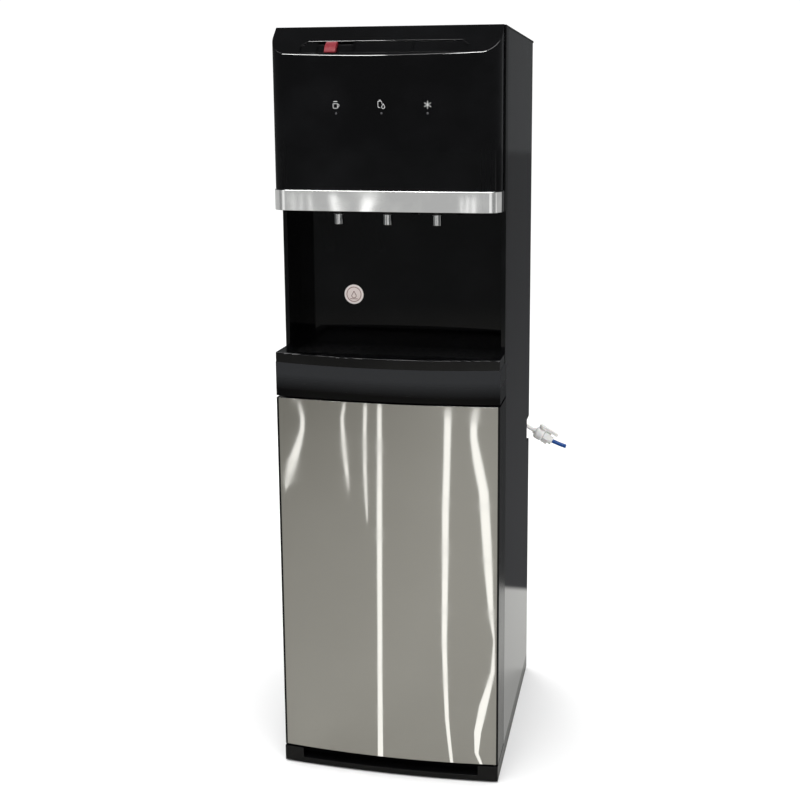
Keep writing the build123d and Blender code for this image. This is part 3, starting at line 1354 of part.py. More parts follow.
def hot_tank():
    """Closed hot tank: top outlet, side inlet, bottom drain and a heater flange."""
    x, y = hot_middle()
    tank = post(x, y, HOT_BOTTOM, HOT_TOP, HOT_R)
    tank = fillet(tank.edges().filter_by(GeomType.CIRCLE), HOT_ROUND)
    tank += post(x, y, HOT_TOP - WALL, HOT_TOP + HOT_FOAM_T + VALVE_NIPPLE, NIPPLE_R)
    tank += bar_x(y, hot_in_z(), x, x + HOT_R + HOT_FOAM_T + VALVE_NIPPLE, NIPPLE_R)
    tank += post(x, y, HOT_SHELF - NIPPLE_UNDER, HOT_BOTTOM + WALL, NIPPLE_R)
    tank += bar_y(x, hot_in_z(), y, y + HOT_R + HOT_FOAM_T + HEATER_L, HEATER_R)
    tank -= post(x, y, HOT_BOTTOM + TANK_T, HOT_TOP - TANK_T, HOT_R - TANK_T)
    return tank - post(x, y, 0, HOT_BOTTOM + WALL, NIPPLE_R / 2)


def hot_in_z():
    """Height of the hot tank's inlet."""
    return HOT_BOTTOM + HOT_FOAM_T + HEATER_R


def hot_tank_foam():
    """Insulating jacket round the hot tank with holes for its pipes and heater."""
    x, y = hot_middle()
    outer = HOT_R + HOT_FOAM_T
    foam = post(x, y, HOT_SHELF + SHELF_T, HOT_TOP + HOT_FOAM_T, outer)
    hollow = post(x, y, HOT_BOTTOM - SET, HOT_TOP + SET, HOT_R + SET)
    foam -= hollow
    foam -= post(x, y, 0, HEIGHT, NIPPLE_R + FIT)
    foam -= bar_x(y, hot_in_z(), x, x + 2 * outer, NIPPLE_R + FIT)
    return foam - bar_y(x, hot_in_z(), y, y + 2 * outer, HEATER_R + FIT)


def power_box():
    """Closed box with the relay, the thermostat control and the fuse, on the lower shelf."""
    y = FRONT + BOX_Y
    z = HOT_SHELF + SHELF_T
    half_w, half_d = BOX_W / 2, BOX_D / 2
    box = block(BOX_X - half_w, BOX_X + half_w, y - half_d, y + half_d, z, z + BOX_H)
    box -= block(BOX_X - half_w + WALL, BOX_X + half_w - WALL, y - half_d + WALL, y + half_d - WALL,
                 z + WALL, z + BOX_H - WALL)
    return box - bar_y(BOX_X, z + BOX_H / 2, y, y + BOX_D, LINE_R)


def filter_drier():
    """Upright filter drier between the condenser and the capillary tube."""
    y = BACK_Y - SERP_END - DRIER_AHEAD
    z = SERP_BOTTOM + DRIER_UP
    drier = post(-SERP_HALF, y, z, z + DRIER_L, DRIER_R)
    return fillet(drier.edges().filter_by(GeomType.CIRCLE), DRIER_R / 2)


def copper_lines():
    """Discharge line, condenser to drier link, capillary tube and suction line."""
    y = FRONT + COMP_Y
    can_top = COMP_Z + COMP_FOOT_T + COMP_H + COMP_DOME
    hole_y = FRONT + SHELF_HOLE_Y
    split = LINE_R + SLIP
    x0 = COMP_X + DISCHARGE_X
    y_in = BACK_Y - SERP_END
    right_x = SHELF_HOLE_X
    discharge = [
        (x0, y, can_top + LINE_STUB),
        (x0, y, can_top + LINE_RISE),
        (right_x, hole_y + split, can_top + 3 * LINE_RISE),
        (right_x, hole_y + split, serp_top() - LINE_RISE / 2),
        (SERP_HALF, y_in - DRIER_AHEAD, serp_top()),
        (SERP_HALF, y_in, serp_top()),
    ]
    drier_y = y_in - DRIER_AHEAD
    link = [
        (-SERP_HALF, y_in, SERP_BOTTOM),
        (-SERP_HALF, drier_y, SERP_BOTTOM),
        (-SERP_HALF, drier_y, SERP_BOTTOM + DRIER_UP),
    ]
    coil_x, cold_y = cold_middle()
    coil_y = cold_y + coil_radius()
    out_y = coil_y + CHASE
    cap_y = hole_y + NIPPLE_R + CAPILLARY_R + 2 * SLIP
    drier_top = SERP_BOTTOM + DRIER_UP + DRIER_L
    capillary = [
        (-SERP_HALF, drier_y, drier_top),
        (-SERP_HALF, drier_y, drier_top + LINE_RISE),
        (-right_x, cap_y, drier_top + 3 * LINE_RISE),
        (-right_x, cap_y, coil_low() - LINE_RISE),
        (coil_x - 2 * CHASE_HALF, out_y, coil_low()),
        (coil_x - CHASE_HALF, coil_y, coil_low()),
        (coil_x, coil_y, coil_low()),
    ]
    suction = [
        (coil_x, coil_y, coil_high()),
        (coil_x + CHASE_HALF, coil_y, coil_high()),
        (coil_x + 2 * CHASE_HALF, out_y, coil_high()),
        (right_x, hole_y - split, coil_high() - 2 * LINE_RISE),
        (right_x, hole_y - split, can_top + 2 * LINE_RISE),
        (COMP_X + COMP_R + 2 * LINE_RISE, y, can_top - COMP_DOME),
        (COMP_X + COMP_R + LINE_STUB, y, can_top - COMP_DOME),
    ]
    lines = tube(discharge, LINE_R, "discharge line") + tube(link, SERP_R, "condenser link")
    return lines + tube(capillary, CAPILLARY_R, "capillary") + tube(suction, LINE_R, "suction line")


def water_hoses():
    """Silicone hoses: inlet, riser, hot tank feed, three tap hoses and the drain."""
    y = FRONT + FILTER_Y
    port_z = FILTER_BOTTOM + FILTER_H + HEAD_LIFT + FILTER_HEAD_H + PORT_H
    hole_y = FRONT + SHELF_HOLE_Y
    elbow = elbow_place()
    bay_back = FRAME_Y + FRAME_T + BAY_DEPTH
    behind = bay_back + HOSE_CLEAR
    inside = BACK_Y - ELBOW_INSIDE
    inlet = [
        (elbow.X, inside, elbow.Z),
        (elbow.X, inside - HOSE_CLEAR, elbow.Z),
        (PORT_X, behind, PORT_HOSE_Z),
        (PORT_X, y, PORT_HOSE_Z),
        (PORT_X, y, port_z),
    ]
    cold_x, cold_y = cold_middle()
    float_z = float_inlet_z()
    left_x = -SHELF_HOLE_X
    float_end = cold_x + FLOAT_X - FLOAT_BODY_R - VALVE_NIPPLE
    riser = [
        (-PORT_X, y, port_z),
        (-PORT_X, y, PORT_HOSE_Z),
        (-PORT_X, behind, PORT_HOSE_Z),
        (left_x, hole_y, PORT_HOSE_Z + 2 * HOSE_CLEAR),
        (left_x, hole_y, float_z),
        (float_end - 2 * HOSE_CLEAR, cold_y, float_z),
        (float_end, cold_y, float_z),
    ]
    hot_x, hot_y = hot_middle()
    under = COLD_SHELF - NIPPLE_UNDER
    feed_x = hot_x + HOT_R + HOT_FOAM_T + VALVE_NIPPLE
    feed = [
        (cold_x, cold_y, under),
        (cold_x, cold_y, under - FEED_DROP),
        (feed_x + HOSE_CLEAR / 2, hot_y, under - 2 * FEED_DROP),
        (feed_x + HOSE_CLEAR / 2, hot_y, hot_in_z()),
        (feed_x, hot_y, hot_in_z()),
    ]
    tap_y = FRONT + SOLENOID_END
    tap_z = solenoid_z()
    bend_y = FRONT + TAP_BEND_Y
    hot_top = HOT_TOP + HOT_FOAM_T + VALVE_NIPPLE
    level = (HEAD_BOTTOM + HEAD_FLOOR_T + COLD_SHELF) / 2
    hot = [
        (hot_x, hot_y, hot_top),
        (hot_x, hot_y, level),
        (-SPOUT_X, bend_y, level),
        (-SPOUT_X, bend_y, tap_z),
        (-SPOUT_X, tap_y, tap_z),
    ]
    warm_y = FRONT + NIPPLE_END
    warm = [
        (WARM_OUT_X, warm_y, warm_out_z()),
        (WARM_OUT_X, warm_y - WARM_RUN, warm_out_z()),
        (0, tap_y + WARM_RUN, (warm_out_z() + tap_z) / 2),
        (0, tap_y + WARM_RUN, tap_z),
        (0, tap_y, tap_z),
    ]
    cold = [
        (COLD_OUT_X, FRONT + COLD_OUT_END, cold_out_z()),
        (COLD_OUT_X, bend_y, cold_out_z()),
        (SPOUT_X, bend_y, tap_z),
        (SPOUT_X, tap_y, tap_z),
    ]
    drain = [
        (hot_x, hot_y, HOT_SHELF - NIPPLE_UNDER),
        (DRAIN_X, hot_y, DRAIN_Z),
        (DRAIN_X, BACK_Y - GLAND_L / 2, DRAIN_Z),
    ]
    routes = {"inlet": inlet, "riser": riser, "feed": feed, "drain": drain}
    routes.update(hot=hot, warm=warm, cold=cold)
    hoses = Part()
    for name, points in routes.items():
        hoses += tube(points, NIPPLE_R, name + " hose")
    return hoses


PIECES = {
    "base_plinth": base_plinth,
    "base_feet": base_feet,
    "left_side_panel": lambda: side_panel(-1),
    "right_side_panel": lambda: side_panel(1),
    "back_panel": back_panel,
    "back_screws": back_screws,
    "top_cover": top_cover,
    "front_frame": front_frame,
    "tank_shelves": tank_shelves,
    "door_frame": door_frame,
    "door_skin": door_skin,
    "door_liner": door_liner,
    "door_hinge_pins": door_hinge_pins,
    "door_magnets": door_magnets,
    "bay_liner": bay_liner,
    "filter_manifold": filter_manifold,
    "sediment_filter": lambda: cartridge(FILTER_X),
    "carbon_filter": lambda: cartridge(-FILTER_X),
    "tray_housing": tray_housing,
    "drip_tray": drip_tray,
    "drip_grille": drip_grille,
    "niche_liner": niche_liner,
    "head_housing": head_housing,
    "head_fascia": head_fascia,
    "chrome_band": chrome_band,
    "key_carrier": key_carrier,
    "hot_key": hot_key,
    "ambient_key": lambda: key(1),
    "cold_key": lambda: key(2),
    "child_lock_slider": child_lock_slider,
    "control_board": control_board,
    "spouts": spouts,
    "tap_solenoids": tap_solenoids,
    "cold_tank": cold_tank,
    "cold_tank_foam": cold_tank_foam,
    "evaporator_coil": evaporator_coil,
    "float_valve": float_valve,
    "float_arm": float_arm,
    "hot_tank": hot_tank,
    "hot_tank_foam": hot_tank_foam,
    "power_box": power_box,
    "compressor": compressor,
    "compressor_grommets": compressor_grommets,
    "condenser_tube": condenser_tube,
    "condenser_wires": condenser_wires,
    "filter_drier": filter_drier,
    "copper_lines": copper_lines,
    "water_hoses": water_hoses,
    "inlet_elbow": inlet_elbow,
    "inlet_tube": inlet_tube,
    "valve_body": valve_body,
    "valve_nut": valve_nut,
    "valve_lever": valve_lever,
    "supply_tube": supply_tube,
    "switch_bezel": switch_bezel,
    "hot_switch": lambda: rocker(-1),
    "cold_switch": lambda: rocker(1),
    "cable_gland": cable_gland,
    "drain_spigot": drain_spigot,
    "drain_cap": drain_cap,
}

os.makedirs("parts", exist_ok=True)
for piece_name, make in PIECES.items():
    save(piece_name, make())
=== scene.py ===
# %% [markdown]
# # A free-standing water cooler
# The cabinet, the door, the keys, the tray and the valve come in from a CAD model, already in their places.
# This lesson adds the camera, the light, the finishes and the small things that a CAD model leaves out:
# rounded edges that catch the light, the printed signs, a round label and the water tube.

# %% Load the frame
import math

import bpy
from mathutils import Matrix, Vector


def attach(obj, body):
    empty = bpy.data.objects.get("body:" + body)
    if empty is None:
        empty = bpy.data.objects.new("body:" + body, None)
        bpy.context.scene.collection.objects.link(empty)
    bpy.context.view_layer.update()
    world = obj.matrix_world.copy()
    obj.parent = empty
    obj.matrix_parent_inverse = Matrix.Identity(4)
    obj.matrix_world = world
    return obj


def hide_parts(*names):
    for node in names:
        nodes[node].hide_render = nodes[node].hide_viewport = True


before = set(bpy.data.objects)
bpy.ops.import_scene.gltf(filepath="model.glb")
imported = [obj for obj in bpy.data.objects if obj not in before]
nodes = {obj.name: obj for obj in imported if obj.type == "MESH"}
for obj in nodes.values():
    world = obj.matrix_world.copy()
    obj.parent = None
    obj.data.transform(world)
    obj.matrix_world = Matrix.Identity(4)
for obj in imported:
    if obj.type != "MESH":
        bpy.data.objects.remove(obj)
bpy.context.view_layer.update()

# %% [markdown]
# ## Camera
# The cooler was seen by someone standing, a little to its right, about a metre and a half away. The lens
# and the place were worked out from the cooler's straight edges. The view is a part cut from a wider
# picture, so its middle isn't the lens's middle: besides its tilt the camera is shifted, down and to one
# side.

# %% The camera
EYE = (0.35395, -1.56600, 0.91627)
TILT = math.radians(80.83)
TURN = math.radians(10.37)
bpy.ops.object.camera_add(location=EYE, rotation=(TILT, 0, TURN))
camera = bpy.context.object
camera.data.sensor_width = 36
camera.data.lens = 49.47
camera.data.shift_x = -0.0721
camera.data.shift_y = -0.1281
bpy.context.scene.camera = camera
print("camera at", EYE, "lens", camera.data.lens)

# %% [markdown]
# ## Water tube
# A short end of blue quarter inch tube is left in the shut-off valve. A cord in Blender is a curve with a
# round bevel: the curve is the middle of the tube, and its three control points are inside the valve, at
# the bend and at the end. A NURBS curve bends evenly between them, as stiff plastic tube does. Its order is
# set after the points. The tube's thickness is given as the points' radius, with a bevel of one, so the
# curve's own box fits the tube.

# %% The blue tube
TUBE_R = 0.003175
tube_points = [(0.18108, 0.154, 0.41050), (0.19667, 0.154, 0.40150), (0.21725, 0.154, 0.39529)]
tube_line = bpy.data.curves.new("supply_tube_end", "CURVE")
tube_line.dimensions = "3D"
spline = tube_line.splines.new("NURBS")
spline.points.add(len(tube_points) - 1)
for point, place in zip(spline.points, tube_points):
    point.co = (*place, 1)
    point.radius = TUBE_R
spline.order_u = 3
spline.use_endpoint_u = True
spline.resolution_u = 12
tube_line.bevel_depth = 1.0
tube_line.bevel_resolution = 8
tube_line.use_fill_caps = True
blue_tube = bpy.data.objects.new("supply_tube_end", tube_line)
bpy.context.collection.objects.link(blue_tube)
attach(blue_tube, "cabinet")
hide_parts("supply_tube")
print("tube points:", len(tube_points))

# %% [markdown]
# ## Finishes
# Every finish here is made with nodes, so it holds at any distance. Writing out node links hides what they
# do, so a small class wraps a socket: an expression such as 1 - mask * 0.3 then adds the Math nodes by
# itself. Colours are mixed by one helper, and any other node comes from one method that takes its type, its
# settings and its values.

# %% The wrapped socket
class Wire:
    def __init__(self, tree, socket):
        self.tree = tree
        self.socket = socket

    def math_node(self, operation, first, second):
        node = self.tree.nodes.new("ShaderNodeMath")
        node.operation = operation
        for slot, value in zip(node.inputs, (first, second)):
            put(self.tree, slot, value)
        return Wire(self.tree, node.outputs[0])

    def __add__(self, other):
        return self.math_node("ADD", self, other)

    def __sub__(self, other):
        return self.math_node("SUBTRACT", self, other)

    def __mul__(self, other):
        return self.math_node("MULTIPLY", self, other)

    def __radd__(self, other):
        return self.math_node("ADD", other, self)

    def __rsub__(self, other):
        return self.math_node("SUBTRACT", other, self)

    def __rmul__(self, other):
        return self.math_node("MULTIPLY", other, self)


def put(tree, slot, value):
    if isinstance(value, Wire):
        tree.links.new(value.socket, slot)
    elif isinstance(value, tuple) and len(value) == 3 and slot.type == "RGBA":
        slot.default_value = (*value, 1)
    else:
        slot.default_value = value


# %% The finish maker
class Finish:
    def __init__(self, name, **constants):
        self.material = bpy.data.materials.new(name)
        self.material.use_nodes = True
        self.tree = self.material.node_tree
        self.shader = self.tree.nodes["Principled BSDF"]
        for socket, value in constants.items():
            put(self.tree, self.shader.inputs[socket.replace("_", " ")], value)
        self.place = self.node("ShaderNodeTexCoord", output="Object")

    def node(self, kind, settings=None, output=0, **values):
        made = self.tree.nodes.new(kind)
        for key, value in (settings or {}).items():
            setattr(made, key, value)
        for socket, value in values.items():
            key = int(socket[1:]) if socket[1:].isdigit() else socket.replace("_", " ")
            put(self.tree, made.inputs[key], value)
        return Wire(self.tree, made.outputs[output])

    def stretch(self, x, y, z):
        return self.node("ShaderNodeMapping", Vector=self.place, Scale=(x, y, z))

    def noise(self, scale, detail=2.0, roughness=0.5, vector=None):
        return self.node("ShaderNodeTexNoise", Vector=vector or self.place, Scale=scale, Detail=detail,
                         Roughness=roughness)

    def ramp(self, value, low, high):
        return self.node("ShaderNodeMapRange", {"clamp": True}, Value=value, From_Min=low, From_Max=high)

    def along(self, axis):
        return self.node("ShaderNodeSeparateXYZ", output=axis, Vector=self.place)

    def blend(self, share, one, two):
        made = self.tree.nodes.new("ShaderNodeMix")
        made.data_type = "RGBA"
        put(self.tree, made.inputs[0], share)
        put(self.tree, made.inputs[6], one)
        put(self.tree, made.inputs[7], two)
        return Wire(self.tree, made.outputs[2])

    def bump(self, height, distance, strength, under=None):
        values = {"Height": height, "Distance": distance, "Strength": strength}
        if under is not None:
            values["Normal"] = under
        return self.node("ShaderNodeBump", **values)

    def feed(self, **values):
        for socket, value in values.items():
            put(self.tree, self.shader.inputs[socket.replace("_", " ")], value)
        return self

# %% [markdown]
# ## Floor and light
# The cooler stands on a plain pale floor under a plain pale sky. Glossy black and steel show little of
# their own colour: they show what stands round them, and in the room where this cooler was seen that was
# mostly dim. So the floor and the sky are pale where the eye or a matt surface sees them, and dim where a
# glossy surface mirrors them, as black cards beside the camera would make them. Only beside the cooler, on
# its right, is the mirrored floor pale too. A light path node tells a mirrored ray from any other.

# %% The floor and the sky
MIRRORED_FADE = (2.3, 4.0)        # metres from the cooler, over which the mirrored floor gets darker
SIDE_X = (0.156, 0.158)           # the floor right of the side panel starts here
SIDE_FRONT = (-0.2, -0.1)
SIDE_BACK = (0.49, 0.47)
SKY_SEEN = 1.05
SKY_MIRRORED = 0.10


def pale_floor():
    paint = Finish("pale_floor", Roughness=0.7, Specular_IOR_Level=0.1)
    across, depth = paint.along("X"), paint.along("Y")
    distance = paint.node("ShaderNodeVectorMath", {"operation": "LENGTH"}, "Value", _0=paint.place)
    warm_side = paint.ramp(across + paint.noise(1.3) * 0.4, -0.9, 0.2)
    near = paint.blend(warm_side, (0.20, 0.195, 0.175), (0.30, 0.295, 0.27))
    front = paint.blend(paint.ramp(distance, *MIRRORED_FADE), near, (0.10, 0.105, 0.105))
    aside = paint.blend(paint.ramp(depth, *SIDE_BACK), (0.055, 0.056, 0.058), (0.62, 0.62, 0.60))
    beside = paint.ramp(across, *SIDE_X) * paint.ramp(depth, *SIDE_FRONT)
    in_mirror = paint.node("ShaderNodeLightPath", output="Is Glossy Ray")
    mirrored = paint.blend(beside, front, aside)
    return paint.feed(Base_Color=paint.blend(in_mirror, (0.9, 0.9, 0.9), mirrored))


bpy.ops.object.select_all(action="DESELECT")
bpy.ops.mesh.primitive_plane_add(size=60, location=(0, 0, 0))
floor = bpy.context.object
floor.name = "floor"
floor.data.materials.append(pale_floor().material)

sky = bpy.data.worlds.new("sky")
bpy.context.scene.world = sky
sky.use_nodes = True
links = sky.node_tree.links
bright = sky.node_tree.nodes["Background"]
bright.inputs["Color"].default_value = (1.0, 1.0, 1.0, 1)
bright.inputs["Strength"].default_value = SKY_SEEN
dim = sky.node_tree.nodes.new("ShaderNodeBackground")
dim.inputs["Color"].default_value = (0.95, 0.98, 1.0, 1)
dim.inputs["Strength"].default_value = SKY_MIRRORED
ray = sky.node_tree.nodes.new("ShaderNodeLightPath")
choose = sky.node_tree.nodes.new("ShaderNodeMixShader")
links.new(ray.outputs["Is Glossy Ray"], choose.inputs["Fac"])
links.new(bright.outputs[0], choose.inputs[1])
links.new(dim.outputs[0], choose.inputs[2])
links.new(choose.outputs[0], sky.node_tree.nodes["World Output"].inputs["Surface"])
bpy.context.scene.view_settings.view_transform = "Standard"
print("sky seen and mirrored:", SKY_SEEN, SKY_MIRRORED)

# %% The lights
COOLER_MIDDLE = (0.0, 0.0, 0.6)
TUBE_X, TUBE_Z = -0.1, 2.6


def panel_light(name, place, aim, width, height, watts, matt=True):
    bpy.ops.object.light_add(type="AREA", location=place)
    lamp = bpy.context.object
    lamp.name = name
    lamp.data.shape = "RECTANGLE"
    lamp.data.size = width
    lamp.data.size_y = height
    lamp.data.energy = watts
    turn = (Vector(aim) - Vector(place)).to_track_quat("-Z", "Y")
    lamp.rotation_euler = turn.to_euler()
    lamp.visible_camera = False
    lamp.visible_diffuse = matt


bpy.ops.object.light_add(type="SUN", location=(0, 0, 4))
daylight = bpy.context.object
daylight.name = "daylight"
daylight.data.energy = 0.65
daylight.data.angle = math.radians(60)
daylight.visible_glossy = False
panel_light("ceiling_panel", (0.3, -0.9, 2.7), COOLER_MIDDLE, width=1.6, height=1.0, watts=22)
panel_light("rear_panel", (-0.8, 1.2, 2.4), COOLER_MIDDLE, width=1.0, height=1.0, watts=10)
for name, tube_y, thick, watts in (("ceiling_tube_near", -0.6, 0.5, 14),
                                   ("ceiling_tube_far", -1.9, 0.10, 30)):
    panel_light(name, (TUBE_X, tube_y, TUBE_Z), (TUBE_X, tube_y, 0.0), 3.0, thick, watts, matt=False)

# %% [markdown]
# ## Black plastic
# The head, the tray and the door's frame are moulded ABS. The polished mouldings are dead black and mirror
# sharply, with a faint unevenness that the mould leaves. The plainer ones have a fine spark-eroded grain,
# so their gloss is broken. Grain is a bump, because it bends the light without changing the outline. The
# bowed apron under the tray has a painted sheen: its colour turns a softer grey towards its upper edge,
# where its bow turns up towards the light, so this painted highlight follows the height.

# %% Black plastics
DEAD_BLACK = (0.0012, 0.0012, 0.0014)
DUSTED_BLACK = (0.0035, 0.0035, 0.004)
# painted sheen: between these heights the apron's colour is painted greyer, where its bow faces the light
APRON_PAINTED_SHEEN = (0.555, 0.578)      # the heights between which the apron turns grey


def gloss_black():
    paint = Finish("gloss_black", IOR=1.5, Specular_IOR_Level=0.5)
    drift = paint.noise(3.0, detail=1.0)
    dust = paint.noise(900.0, detail=3.0)
    haze = paint.ramp(paint.noise(14.0, detail=4.0), 0.45, 0.8)
    return paint.feed(Base_Color=paint.blend(haze, DEAD_BLACK, DUSTED_BLACK),
                      Roughness=0.035 + haze * 0.05 + paint.ramp(dust, 0.62, 0.8) * 0.08,
                      Normal=paint.bump(drift, 0.0006, 0.35))


def satin_black():
    paint = Finish("satin_black", IOR=1.5, Specular_IOR_Level=0.3)
    grain = paint.noise(1600.0, detail=2.0)
    patch = paint.noise(9.0, detail=3.0)
    return paint.feed(Base_Color=paint.blend(patch, DEAD_BLACK, DUSTED_BLACK),
                      Roughness=0.2 + patch * 0.1,
                      Normal=paint.bump(grain, 0.00006, 0.5))


def apron_black():
    paint = Finish("apron_black", IOR=1.5, Specular_IOR_Level=0.12)
    # painted sheen: the apron's colour turns grey towards its upper edge, a painted highlight by height
    painted_sheen = paint.ramp(paint.along("Z") + paint.noise(6.0, detail=1.0) * 0.006, *APRON_PAINTED_SHEEN)
    grain = paint.noise(1600.0, detail=2.0)
    return paint.feed(Base_Color=paint.blend(painted_sheen, DEAD_BLACK, (0.022, 0.023, 0.025)),
                      Roughness=0.2 + painted_sheen * 0.1,
                      Normal=paint.bump(grain, 0.00006, 0.5))


finishes = {"gloss_black": gloss_black(), "satin_black": satin_black(), "apron_black": apron_black()}
print("made", sorted(finishes))

# %% [markdown]
# ## Painted sheet
# The sides and the back are thin steel sheet with baked black enamel. Such paint levels out, but keeps a
# fine orange peel, and the sheet itself is never quite flat: a long shallow wave bends what it mirrors.

# %% Painted sheet
def black_sheet():
    paint = Finish("black_sheet", IOR=1.5, Coat_IOR=1.5)
    wave = paint.noise(2.2, detail=1.0)
    peel = paint.noise(420.0, detail=2.0)
    rub = paint.ramp(paint.noise(26.0, detail=5.0, roughness=0.7), 0.6, 0.85)
    return paint.feed(Base_Color=paint.blend(rub, (0.007, 0.007, 0.008), (0.016, 0.016, 0.017)),
                      Roughness=0.1 + rub * 0.12,
                      Normal=paint.bump(peel, 0.00004, 0.4, under=paint.bump(wave, 0.0025, 0.2)))


finishes["black_sheet"] = black_sheet()
print("made black_sheet")

# %% [markdown]
# ## Steel and bright metal
# The door is faced with stainless sheet with a very fine level grain, so it mirrors the room as tall soft
# streaks. The shader stretches its gloss with the anisotropy of the grain, and a long shallow wave of the
# pressed sheet makes the streaks wander. Bright trim is plated and smoother. Tanks and pins are plain mill
# finish. The spouts are bright metal only at their tips. Above the tips, in the shade of the band, they are
# painted black as painted shade: one finish turns from metal to black plastic at that height.

# %% Steel and bright metal
# the spout is bright metal up to this height over its lowest point; above it, it is painted black as painted
# shade under the band
BRIGHT_TIP = 0.0135
TIP_BLUR = 0.0002


def corners_of(name):
    return [nodes[name].matrix_world @ Vector(corner) for corner in nodes[name].bound_box]


def stainless():
    metal = Finish("stainless", Metallic=1.0, Anisotropic=0.6, Anisotropic_Rotation=0.25)
    grain = metal.noise(1.0, detail=3.0, vector=metal.stretch(60.0, 60.0, 2600.0))
    cloud = metal.noise(5.0, detail=3.0)
    smear = metal.ramp(metal.noise(1.0, detail=4.0, vector=metal.stretch(7.0, 7.0, 22.0)), 0.5, 0.75)
    wave = metal.noise(1.0, detail=0.0, vector=metal.stretch(5.0, 5.0, 6.0))
    colour = metal.blend(cloud, (0.56, 0.55, 0.525), (0.64, 0.635, 0.615))
    return metal.feed(Base_Color=metal.blend(grain * 0.25, colour, (0.70, 0.695, 0.68)),
                      Roughness=0.035 + smear * 0.04 + grain * 0.02,
                      Normal=metal.bump(grain, 0.000004, 0.3, under=metal.bump(wave, 0.0006, 0.2)))


def bright_trim():
    metal = Finish("bright_trim", Metallic=1.0, Anisotropic=0.4, Anisotropic_Rotation=0.25)
    grain = metal.noise(1.0, detail=2.0, vector=metal.stretch(90.0, 90.0, 3200.0))
    haze = metal.ramp(metal.noise(30.0, detail=4.0), 0.45, 0.8)
    return metal.feed(Base_Color=metal.blend(haze, (0.62, 0.62, 0.62), (0.72, 0.72, 0.715)),
                      Roughness=0.06 + haze * 0.05,
                      Normal=metal.bump(grain, 0.000004, 0.3))


def tipped_spout():
    metal = Finish("tipped_spout", IOR=1.5)
    change = min(corner.z for corner in corners_of("spouts")) + BRIGHT_TIP
    # painted shade: above the tip the spout turns black, as it looks in the band's shade
    tip = metal.ramp(metal.along("Z"), change + TIP_BLUR, change - TIP_BLUR)
    return metal.feed(Base_Color=metal.blend(tip, (0.002, 0.002, 0.002), (0.72, 0.72, 0.72)), Metallic=tip,
                      Roughness=0.05 + (1 - tip) * 0.2)


def bare_steel():
    metal = Finish("bare_steel", Metallic=1.0)
    cloud = metal.noise(22.0, detail=4.0)
    scratch = metal.ramp(metal.noise(1.0, detail=2.0, vector=metal.stretch(900.0, 900.0, 30.0)), 0.6, 0.7)
    return metal.feed(Base_Color=metal.blend(cloud, (0.46, 0.46, 0.455), (0.58, 0.58, 0.575)),
                      Roughness=0.24 + cloud * 0.14 + scratch * 0.08,
                      Normal=metal.bump(scratch, 0.00002, 0.4))


finishes.update(stainless=stainless(), bright_trim=bright_trim(), bare_steel=bare_steel(),
                tipped_spout=tipped_spout())
print("made", sorted(finishes))

# %% [markdown]
# ## Plain plastics, rubber and foam
# The small parts differ mostly in colour and gloss. One maker serves them all: moulded plastic has a slow
# change of tone, a little dust in its roughness and a grain whose depth depends on the mould. Clear
# plastics let light in.

# %% Plain plastics
def moulded(name, dark, pale, gloss, grain_depth=0.00003, grain_scale=900.0, **constants):
    paint = Finish(name, IOR=1.47, **constants)
    tone = paint.noise(18.0, detail=3.0)
    dust = paint.ramp(paint.noise(160.0, detail=3.0), 0.5, 0.8)
    return paint.feed(Base_Color=paint.blend(tone, dark, pale), Roughness=gloss + dust * 0.1,
                      Normal=paint.bump(paint.noise(grain_scale, detail=2.0), grain_depth, 0.4))


finishes["rubber"] = moulded("rubber", (0.012, 0.012, 0.012), (0.022, 0.022, 0.022), 0.7, 0.0001, 1200.0)
finishes["magnet"] = moulded("magnet", (0.035, 0.032, 0.03), (0.05, 0.046, 0.043), 0.55)
finishes["grey_plastic"] = moulded("grey_plastic", (0.23, 0.23, 0.235), (0.29, 0.29, 0.295), 0.42)
finishes["white_plastic"] = moulded("white_plastic", (0.70, 0.70, 0.68), (0.80, 0.80, 0.785), 0.28,
                                    Subsurface_Weight=0.08, Subsurface_Scale=0.004)
finishes["red_plastic"] = moulded("red_plastic", (0.17, 0.018, 0.025), (0.22, 0.025, 0.033), 0.25,
                                  Specular_IOR_Level=0.2)
finishes["ivory_plastic"] = moulded("ivory_plastic", (0.62, 0.59, 0.50), (0.72, 0.69, 0.60), 0.35)
finishes["foam"] = moulded("foam", (0.03, 0.03, 0.03), (0.055, 0.055, 0.055), 0.9, 0.0006, 420.0)
finishes["silicone"] = moulded("silicone", (0.62, 0.63, 0.62), (0.74, 0.75, 0.74), 0.3,
                               Transmission_Weight=0.3, Subsurface_Weight=0.1, Subsurface_Scale=0.003)
finishes["white_tube"] = moulded("white_tube", (0.72, 0.72, 0.70), (0.82, 0.82, 0.80), 0.25,
                                 Subsurface_Weight=0.1, Subsurface_Scale=0.003)
finishes["blue_tube"] = moulded("blue_tube", (0.004, 0.045, 0.21), (0.008, 0.075, 0.30), 0.22)
finishes["black_tube"] = moulded("black_tube", (0.008, 0.008, 0.008), (0.018, 0.018, 0.018), 0.4,
                                 0.0001, 700.0)
print("made", len(finishes), "finishes")

# %% [markdown]
# ## Zinc, copper and the board
# Galvanised steel shows flat crystals, which a Voronoi pattern gives. Copper tube tarnishes in soft
# patches. The control board is green laminate with fine tracks just under its lacquer.

# %% Zinc, copper and the board
def galvanised():
    metal = Finish("galvanised", Metallic=1.0)
    crystal = metal.node("ShaderNodeTexVoronoi", {"feature": "F1"}, output="Color",
                         Vector=metal.place, Scale=110.0)
    tone = metal.node("ShaderNodeSeparateColor", Color=crystal)
    return metal.feed(Base_Color=metal.blend(tone, (0.42, 0.43, 0.44), (0.60, 0.61, 0.62)),
                      Roughness=0.3 + tone * 0.2)


